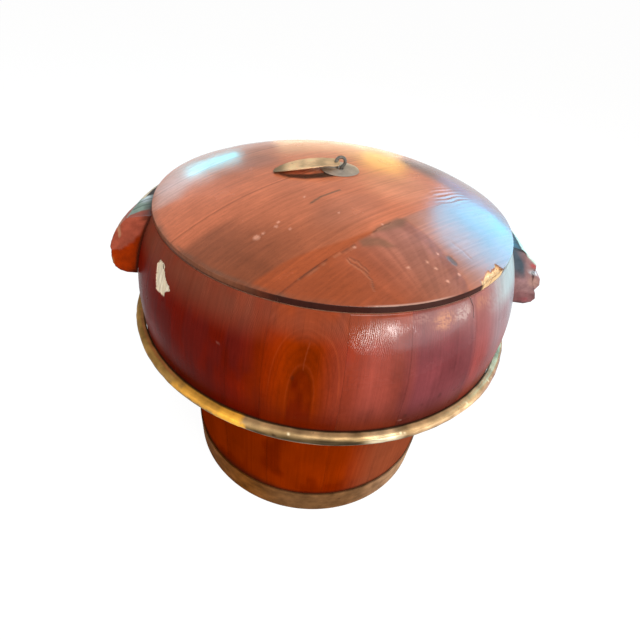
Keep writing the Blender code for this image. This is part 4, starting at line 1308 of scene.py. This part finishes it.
def hoop_tint(angle, height, inset):
    """Tarnish of the waist hoop: olive, a rubbed gold place, pale at the right, with painted highlights on
    its top and front, painted shade low down, and grime and painted shade by the belly.
    """
    angle = half_turns(angle)
    z = (height - HOOP_HEIGHT) * 1000
    u = angle * HOOP_DEGREE
    tint = coat(HOOP_TONE, angle.shape)
    for colour, weight, rise, fall in HOOP_TARNISH_AND_HIGHLIGHT:
        tint = toward(tint, colour, weight * within(angle, rise, fall))
    # Painted highlight along the top of the hoop at the left
    tint = toward(tint, HOOP_CREST_PAINTED_HIGHLIGHT, 0.6 * smooth(1.6, 3.6, z) * smooth(-116, -106, angle))
    # Painted shade: darker over the lower half, and darker still low on the front
    tint = shaded(tint, mix(0.4, 1.0, smooth(-3.2, 1.0, z)))
    tint = shaded(tint, mix(1.0, 0.5, smooth(2.4, 0.4, z) * within(angle, *HOOP_SHADED)))
    tint = shaded(tint, 1 + 0.32 * noise(u * 0.16, z * 0.45, 55))
    ragged = 2.5 * noise(u * 0.2, z * 0.2, 51) + noise(u * 0.8, z * 0.8, 52)
    gold = within(angle + ragged, *HOOP_GOLD_ANGLES) * smooth(-0.8, 1.6, z + 0.6 * ragged)
    rubbed = within(angle + 0.6 * ragged, *HOOP_RUBBED_ANGLES) * smooth(-2.6, -1.2, z + 0.5 * ragged)
    # Painted highlight on the flat top near the belly, at the left
    painted_shine = within(inset, (1.7, 2.3), (3.2, 4.2)) * within(angle, *HOOP_PAINTED_SHINE_ANGLES)
    tint = layered(
        tint,
        (HOOP_GOLD, 0.85 * gold),
        (HOOP_RUBBED, rubbed),
        (HOOP_PAINTED_SHINE, 0.85 * painted_shine),
        # Grime and painted shade where the hoop meets the belly
        (GRIME_AND_PAINTED_SHADE, 0.9 * smooth(2.0, 1.2, inset)),
    )
    for degrees, level, size in HOOP_FLECKS:
        tint = toward(tint, HOOP_FLECK, 0.85 * spot(u, z, (degrees * HOOP_DEGREE, level), (size * 1.8, size)))
    return toward(tint, GRIME_AND_PAINTED_SHADE, 0.8 * spot(u, z, (HOOP_SPOT[0] * HOOP_DEGREE, HOOP_SPOT[1]), (2.6, 1.8)))


def band_tint(angle, height):
    """Tarnish of the foot's band, with a nail head and its lapped end at the back."""
    angle = half_turns(angle)
    z = height * 1000
    u = angle * BAND_DEGREE
    tint = layered(
        coat(BAND_TONE, angle.shape),
        (BAND_LEFT, smooth(-95, -125, angle)),
        (BAND_RIGHT, within(angle, (-75, -40), (40, 100))),
    )
    return layered(
        shaded(tint, 1 + 0.16 * noise(u * 0.12, z * 0.3, 53)),
        (GRIME_AND_PAINTED_SHADE, 0.8 * spot(u, z, (BAND_NAIL[0] * BAND_DEGREE, BAND_NAIL[1]), (1.8, 1.8))),
        (GRIME_AND_PAINTED_SHADE, 0.7 * smooth(1.4, 0.2, np.abs(u - BAND_LAP * BAND_DEGREE))),
        (GRIME_AND_PAINTED_SHADE, 0.5 * smooth(29.4, 30.6, z)),
    )


def build_hoops(waist_brass, band_brass):
    """The dented rod round the waist and the flat band round the foot."""
    angle = np.linspace(-180, 180, HOOP_SECTIONS, endpoint=False)[:, None]
    seat = HOOP_SEAT_RADIUS + CLEARANCE
    half = WAIST_HOOP_HEIGHT / 2
    flat = WAIST_HOOP_DEPTH - half
    arc = np.linspace(math.pi / 2, -math.pi / 2, HOOP_ARC)
    top = seat + flat * np.array((0.0, 0.3, 0.55, 0.8))
    radius = np.concatenate([top, seat + flat + half * np.cos(arc), [seat]])
    height = HOOP_HEIGHT + half * np.concatenate([np.ones(len(top)), np.sin(arc), [-1]])
    dent = HOOP_DENT * (2 + noise(angle / 9, height * 300, 12) + noise(angle / 2.2, height * 700, 13))
    points = round_points(angle, radius - dent * (radius > seat), height)
    inset = 1000 * (radius - seat)
    attributes = {"tint": hoop_tint(*np.broadcast_arrays(angle, height, inset))}
    dress("waist_hoop", "bucket", "hoop_brass", points, waist_brass, attributes, closed=True)

    top = FOOT_HOOP_LIFT + FOOT_HOOP_HEIGHT
    rows = np.linspace(top, FOOT_HOOP_LIFT, BAND_ROWS)
    outer = foot_radius(rows) + FOOT_HOOP_THICKNESS
    radius = np.concatenate([[foot_radius(top)], outer, [foot_radius(FOOT_HOOP_LIFT)]]) + CLEARANCE
    height = np.concatenate([[top], rows, [FOOT_HOOP_LIFT]])
    attributes = {"tint": band_tint(*np.broadcast_arrays(angle[::2], height))}
    points = round_points(angle[::2], radius, height)
    dress("foot_hoop", "bucket", "hoop_brass", points, band_brass, attributes, closed=True)


def finer(outline, share, leaf_sweep, steps):
    """A handle's outline at this share of its length, with points filled in between the carved ones."""
    knots = []
    for index, (front, tail) in enumerate(zip(outline, TAIL)):
        sweep = share**leaf_sweep if index < LEAF_POINTS else share
        knots.append((mix(front[0], tail[0], sweep), mix(front[1], tail[1], sweep)))
    knots = np.array(knots)
    places = np.linspace(0, len(knots) - 1, steps)
    return np.stack([np.interp(places, range(len(knots)), knots[:, k]) for k in range(2)], -1)


def leaf_veins(reach, share):
    """1 on the veins that run out over a lug's leaf, fading to 0 between them."""
    return smooth(0.14, 0.05, np.abs((share * 9 + reach * 1.6) % 1.0 - 0.5))


def left_paint(reach, level, share):
    """Grey-green leaf behind a red fruit on a red-brown base, with painted highlights, painted shade over the
    leaf's far end, and a painted shadow along the seat.
    """
    split = along_line(reach, LEFT_PAINT_EDGE)
    outer = reach / mix(LEFT_FRONT[1][0], TAIL[1][0], share**LEFT_SWEEP)
    leaf = smooth(0.89, 0.92, level + 0.05 * (1 - reach))
    leaf = leaf * smooth(-0.008, 0.008, share - mix(0.17, 0.07, outer))
    return layered(
        coat(RED_PAINT, level.shape),
        (BROWN_PAINT, smooth(0.015, -0.015, level - split + 0.02 * noise(reach * 9, 0, 61))),
        # Painted highlight low on the outer edge
        (OCHRE_PAINTED_HIGHLIGHT, 0.6 * spot(reach, level, (0.88, 0.22), (0.12, 0.16))),
        # Painted highlight streak on the fruit's facet
        (FRUIT_STREAK_PAINTED_HIGHLIGHT, 0.7 * stroke(reach, level, ((0.90, 0.84), (0.78, 0.70)), 0.10)),
        (LEAF_PAINT, leaf),
        # Painted highlight on the leaf
        (LEAF_PAINTED_HIGHLIGHT, 0.85 * leaf * spot(outer, share, (0.45, 0.36), (0.6, 0.11))),
        (LEAF_VEIN, 0.8 * leaf * leaf_veins(reach, share)),
        # Painted shade over the leaf's far end
        (LEAF_PAINTED_SHADE, leaf * smooth(0.41, 0.45, share)),
        # Painted highlight on the outer edge of the leaf's far end
        (LEAF_EDGE_PAINTED_HIGHLIGHT, leaf * smooth(0.36, 0.44, share) * smooth(0.70, 0.80, outer)),
        # Painted shadow along the seat against the belly
        (GRIME_AND_PAINTED_SHADE, 0.85 * smooth(0.14, 0.05, reach)),
    )


def right_paint(reach, level, share):
    """Leaf in painted shade with a pale edge and painted highlight, a red tip under it, a worn pinkish fruit
    and base with painted highlights, and painted shadow by the body.
    """
    near = smooth(0.42, 0.12, share)
    sweep = share**RIGHT_SWEEP
    inner_x, outer_x = (mix(RIGHT_FRONT[k][0], TAIL[k][0], sweep) for k in (0, 1))
    inner_y, outer_y = (mix(RIGHT_FRONT[k][1], TAIL[k][1], sweep) for k in (0, 1))
    crest = inner_y + (reach - inner_x) / (outer_x - inner_x) * (outer_y - inner_y)
    leaf = smooth(-0.05, -0.02, level - crest)
    edge = leaf * smooth(0.58, 0.68, reach / outer_x)
    return layered(
        shaded(coat(PINK_PAINT, level.shape), 1 + 0.16 * noise(share * 12, level * 5, 62)),
        # Painted highlight on the fruit's bulge
        (PINK_PAINTED_HIGHLIGHT, 0.7 * near * spot(reach, level, (0.68, 0.47), (0.28, 0.13))),
        (PINK_BASE, smooth(0.30, 0.22, level)),
        (CRIMSON_WEAR, 0.5 * near * spot(reach, level, (0.40, 0.12), (0.22, 0.07))),
        (BASE_SHADE, 0.7 * smooth(0.07, 0.02, level)),
        # Painted highlight on top of the bulge by the notch
        (FRUIT_WHITE_PAINTED_HIGHLIGHT, 0.9 * near * spot(reach, level, (0.70, 0.635), (0.26, 0.06))),
        (RED_TIP, 0.8 * near * spot(reach, level, (0.68, 0.755), (0.16, 0.06))),
        # Painted shadow on the end face by the body, under the leaf
        (BLUE_PAINTED_SHADOW, 0.94 * smooth(0.46, 0.28, reach) * smooth(0.40, 0.66, level)),
        # Painted shade over the leaf
        (RIGHT_LEAF_PAINTED_SHADE, 0.95 * leaf),
        # Pale green paint with a painted highlight on the leaf's outer edge
        (RIGHT_LEAF_EDGE_AND_PAINTED_HIGHLIGHT, edge),
        (RIGHT_LEAF_VEIN, 0.6 * edge * leaf_veins(reach, share)),
    )


HANDLES = {
    "right": (0.0, -1, RIGHT_FRONT, RIGHT_SWEEP, right_paint),
    "left": (180.0, 1, LEFT_FRONT, LEFT_SWEEP, left_paint),
}


def build_handles(material):
    """Each lug is a loft round the belly from its carved front end, closed by a slightly eased end face."""
    half_angle = math.degrees(HANDLE_LENGTH / 2 / BELLY_RADIUS)
    for side, (facing, turn, outline, leaf_sweep, paint) in HANDLES.items():
        rows = []
        for share in np.linspace(0, 1, LUG_SECTIONS):
            section = finer(outline, share, leaf_sweep, LUG_POINTS)
            reach = np.concatenate([section[:, 0], np.zeros(LUG_SEAT_POINTS)])
            level = np.concatenate([section[:, 1], np.linspace(0, 1, LUG_SEAT_POINTS)])
            eased = END_EASE * smooth(0.02, 0.0, share) * (reach > OFF_SEAT)
            rows.append((reach, level, share, mix(half_angle, -half_angle, share) - eased))
        reach, level = rows[0][:2]
        for inset in np.linspace(0.03, 1.0, LUG_END_RINGS):
            eased = END_EASE * smooth(0.10, 0.0, inset) * (reach > OFF_SEAT)
            ring = (mix(reach, reach.mean(), inset), mix(level, level.mean(), inset), 0.0, half_angle - eased)
            rows.insert(0, ring)
        reach, level, share, angle = (np.stack(column) for column in zip(*rows))
        share = share[:, None]
        height = HANDLE_BASE + HANDLE_HEIGHT * level
        tint = paint(reach, level, np.broadcast_to(share, reach.shape))
        carved = CARVING_DEPTH * noise(reach * 14 + share * 40, level * 16, 62) * (reach > OFF_SEAT)
        out = belly_radius(height) + HANDLE_SEAT + reach * (HANDLE_REACH - HANDLE_SEAT) - np.abs(carved)
        points = round_points(facing + turn * angle, out, height)
        paints = {"tint": tint}
        dress(f"handle_{side}", "bucket", "painted_carving", points, material, paints, sharp=CARVED_ANGLE)


def build_pin(material):
    """The wire of the eye and its two clenched legs."""
    opening = math.asin(LEG_SPREAD / EYE_RADIUS)
    clench = LID_UNDERSIDE - WIRE_RADIUS - CLEARANCE
    leg = [(LEG_SPREAD, clench + WIRE_BEND)]
    leg += [(LEG_SPREAD + out, clench) for out in (WIRE_BEND, LEG_CLENCH)]
    eye = np.linspace(-math.pi / 2 - opening, -2.5 * math.pi + opening, EYE_SECTIONS)
    path = [(-x, z) for x, z in reversed(leg)]
    path += [(EYE_RADIUS * math.cos(turn), EYE_HEIGHT + EYE_RADIUS * math.sin(turn)) for turn in eye]
    path = np.array(path + leg)
    run = np.gradient(path, axis=0)
    run = run / np.linalg.norm(run, axis=1)[:, None]
    normal = np.stack([-run[:, 1], run[:, 0]], -1)
    spin = np.linspace(0, math.tau, WIRE_SIDES, endpoint=False)
    local = path[:, None, :] + WIRE_RADIUS * np.cos(spin)[None, :, None] * normal[:, None, :]
    side = np.broadcast_to(WIRE_RADIUS * np.sin(spin)[None, :], local.shape[:2])
    points = turned(local[..., 0], side, local[..., 1], PULL_ANGLE)
    dress("split_pin", "lid", "pull_brass", points, material, {"tint": coat(STEEL_TONE, side.shape)})


def build_escutcheon(material):
    """The thin plate under the eye, with a slightly uneven outline."""
    angle = np.linspace(0, 360, PLATE_SECTIONS, endpoint=False)
    wave = 1 - 0.035 * (1 + noise(np.arange(PLATE_SECTIONS) / 8, 0, 4)) / 2
    shares = np.linspace(0, 1, PLATE_RINGS)
    top_radius = mix(PIN_HOLE_RADIUS, ESCUTCHEON_RADIUS, shares)
    top_height = ESCUTCHEON_BASE + ESCUTCHEON_THICKNESS * (1 - 0.8 * shares**3)
    radius = np.concatenate([top_radius, [ESCUTCHEON_RADIUS, PIN_HOLE_RADIUS]])
    height = np.concatenate([top_height, [ESCUTCHEON_BASE, ESCUTCHEON_BASE]])
    outward = np.concatenate([shares, [1.0, 0.0]])
    spread = 1 - outward[None, :] * (1 - wave[:, None])
    points = round_points(angle[:, None], radius[None, :] * spread, height[None, :])
    tints = {"tint": coat(PLATE_TONE, points.shape[:2])}
    dress("pull_escutcheon", "lid", "pull_brass", points, material, tints, closed=True)


def leaf_width(share):
    """(swell, half width) of the leaf at each share of its length."""
    swell = np.sin(math.pi * share**PULL_LEAN) ** PULL_FULLNESS
    return swell, PULL_WIDTH / 2 * swell + PULL_NECK / 2 * (1 - share) ** PULL_NECK_FADE


def build_leaf(material):
    """The pull: a thin cupped leaf with a midrib, hung on the eye by the hole in its neck."""
    neck = EYE_RADIUS - PULL_NECK / 2
    edge_share = (1 - np.cos(np.linspace(0, math.pi, LEAF_EDGE_POINTS))) / 2
    edge_share = np.concatenate([edge_share, edge_share[-2::-1]])[:, None]
    edge_side = np.where(np.arange(len(edge_share)) < LEAF_EDGE_POINTS, 1, -1)[:, None]
    edge_x = mix(neck, PULL_LENGTH, edge_share)
    edge_y = edge_side * leaf_width(edge_share)[1] + PULL_BEND * edge_share**3
    outward = np.hypot(edge_x - EYE_RADIUS, edge_y)
    rim = PULL_HOLE_RADIUS / outward
    reach = mix(rim, 1.0, np.linspace(0, 1, LEAF_RINGS)[None, :])
    x = EYE_RADIUS + (edge_x - EYE_RADIUS) * reach
    y = edge_y * reach

    share = np.clip((x - neck) / (PULL_LENGTH - neck), 0, 1)
    swell, half = leaf_width(share)
    sideways = np.clip((y - PULL_BEND * share**3) / np.maximum(half, 0.0002), -1, 1)
    cup = PULL_CUP * (sideways**2 + 3 * np.clip(sideways, 0, 1) ** 1.5) * swell * smooth(0.02, 0.25, share)
    thin = 0.7 * PULL_THICKNESS / 2 * (1 - 0.45 * sideways**4)
    rib = PULL_RIB * np.exp(-((sideways / 0.09) ** 2)) * within(share, (0.1, 0.25), (0.8, 0.98))
    above = np.stack([x, y, cup + thin + rib], -1)
    below = np.stack([x, y, cup - thin], -1)[:, ::-1]
    points = np.concatenate([above, below], axis=1)

    tip_height = float(lid_height(math.hypot(PULL_LENGTH, PULL_BEND))) + PULL_THICKNESS / 2 + CLEARANCE
    lean = Matrix.Rotation(math.asin((EYE_HEIGHT - tip_height) / PULL_LENGTH), 4, "Y")
    place = Matrix.Translation((0, 0, EYE_HEIGHT)) @ Matrix.Rotation(math.radians(PULL_ANGLE), 4, "Z") @ lean
    ends = np.concatenate([share, share[:, ::-1]], axis=1)
    tint = layered(
        coat(PULL_TONE, ends.shape),
        (np.array(PULL_TONE) * 0.35, smooth(0.72, 0.90, ends)),
        (np.array(PULL_TONE) * 0.72, smooth(0.42, 0.25, ends)),
    )
    points = points @ np.array(place.to_3x3()).T + np.array(place.translation)
    dress("leaf_pull", "pull", "pull_brass", points, material, {"tint": tint}, name="leaf_blade", closed=True)


def keep_plain_nodes(material):
    """The floor boards and pegs keep their own form and take the bare wood."""
    for name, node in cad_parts.items():
        if name.startswith("floor_board") or "_peg_" in name:
            for slot in node.material_slots:
                slot.material = material


def area_light(name, place, target, size, radiance, colour, shape="RECTANGLE"):
    """A soft lamp that faces its target and isn't seen by the camera."""
    light = bpy.data.lights.new(name, "AREA")
    light.shape = shape
    light.size, light.size_y = size
    fullness = 1.0 if shape == "RECTANGLE" else math.pi / 4
    light.energy = radiance * math.pi * fullness * size[0] * size[1]
    light.color = colour
    lamp = bpy.data.objects.new(name, light)
    bpy.context.scene.collection.objects.link(lamp)
    lamp.location = place
    lamp.rotation_euler = (Vector(target) - Vector(place)).to_track_quat("-Z", "Y").to_euler()
    lamp.visible_camera = False


def build_world():
    """A plain room, a little darker overhead."""
    world = bpy.data.worlds.new("room")
    bpy.context.scene.world = world
    world.use_nodes = True
    tree = world.node_tree
    coordinate = tree.nodes.new("ShaderNodeTexCoord")
    split = tree.nodes.new("ShaderNodeSeparateXYZ")
    ramp = tree.nodes.new("ShaderNodeValToRGB")
    tree.links.new(coordinate.outputs["Generated"], split.inputs[0])
    tree.links.new(split.outputs["Z"], ramp.inputs["Fac"])
    ramp.color_ramp.elements[0].color = ROOM_BELOW
    ramp.color_ramp.elements[1].color = ROOM_ABOVE
    ramp.color_ramp.elements.new(ROOM_MIDDLE_PLACE).color = ROOM_MIDDLE
    background = tree.nodes["Background"]
    tree.links.new(ramp.outputs["Color"], background.inputs["Color"])
    background.inputs["Strength"].default_value = ROOM_STRENGTH


def build_floor():
    """A white floor that keeps the shadow: bright to the camera and in the gloss, plain to other light."""
    mesh = bpy.data.meshes.new("floor")
    corners = [(x * FLOOR_REACH, y * FLOOR_REACH, 0) for x, y in ((-1, -1), (1, -1), (1, 1), (-1, 1))]
    mesh.from_pydata(corners, [], [(0, 1, 2, 3)])
    floor = bpy.data.objects.new("floor", mesh)
    floor.location.z = -FLOOR_DROP
    bpy.context.scene.collection.objects.link(floor)
    graph = Graph("floor")
    plain = graph.node("BsdfDiffuse", {"Color": FLOOR_GREY})
    shadow = graph.node("BsdfDiffuse", {"Color": FLOOR_SHADOW})
    bright = graph.node("Emission", {"Color": (1, 1, 1, 1), "Strength": FLOOR_STRENGTH})
    white = graph.node("AddShader", {0: shadow.outputs[0], 1: bright.outputs[0]})
    rays = graph.node("LightPath", {})
    seen = graph.math("MAXIMUM", rays.outputs["Is Camera Ray"], rays.outputs["Is Glossy Ray"])
    seen = graph.math("MAXIMUM", seen, rays.outputs["Is Transmission Ray"])
    shown = graph.node("MixShader", {0: seen, 1: plain.outputs[0], 2: white.outputs[0]})
    output = graph.tree.nodes["Material Output"]
    graph.tree.links.new(shown.outputs[0], output.inputs["Surface"])
    mesh.materials.append(graph.material)


def build_camera():
    """The photo's view."""
    data = bpy.data.cameras.new("camera")
    data.sensor_width = CAMERA_SENSOR
    data.lens = CAMERA_LENS
    camera = bpy.data.objects.new("camera", data)
    bpy.context.scene.collection.objects.link(camera)
    axes = Matrix((CAMERA_RIGHT, CAMERA_UP, -Vector(CAMERA_FORWARD))).transposed().to_4x4()
    camera.matrix_world = Matrix.Translation(CAMERA_PLACE) @ axes
    bpy.context.scene.camera = camera
    bpy.context.scene.view_settings.view_transform = "Standard"


def main():
    build_belly(belly_lacquers())
    build_foot(lacquered_wood("foot_lacquer", **FOOT_LACQUER))
    edge = lacquered_wood("lid_edge_lacquer", **LID_EDGE)
    build_lid(lacquered_wood("lid_lacquer", **LID_LACQUER), edge)
    boards = bare_wood()
    build_battens(boards)
    keep_plain_nodes(boards)
    build_hoops(aged_brass("waist_brass", **WAIST_BRASS), aged_brass("band_brass", **BAND_BRASS))
    build_handles(painted_carving())
    pull = aged_brass("pull_brass", **PULL_BRASS)
    build_pin(pull)
    build_escutcheon(pull)
    build_leaf(pull)
    for lamp in LAMPS:
        area_light(*lamp)
    build_world()
    build_floor()
    build_camera()


main()
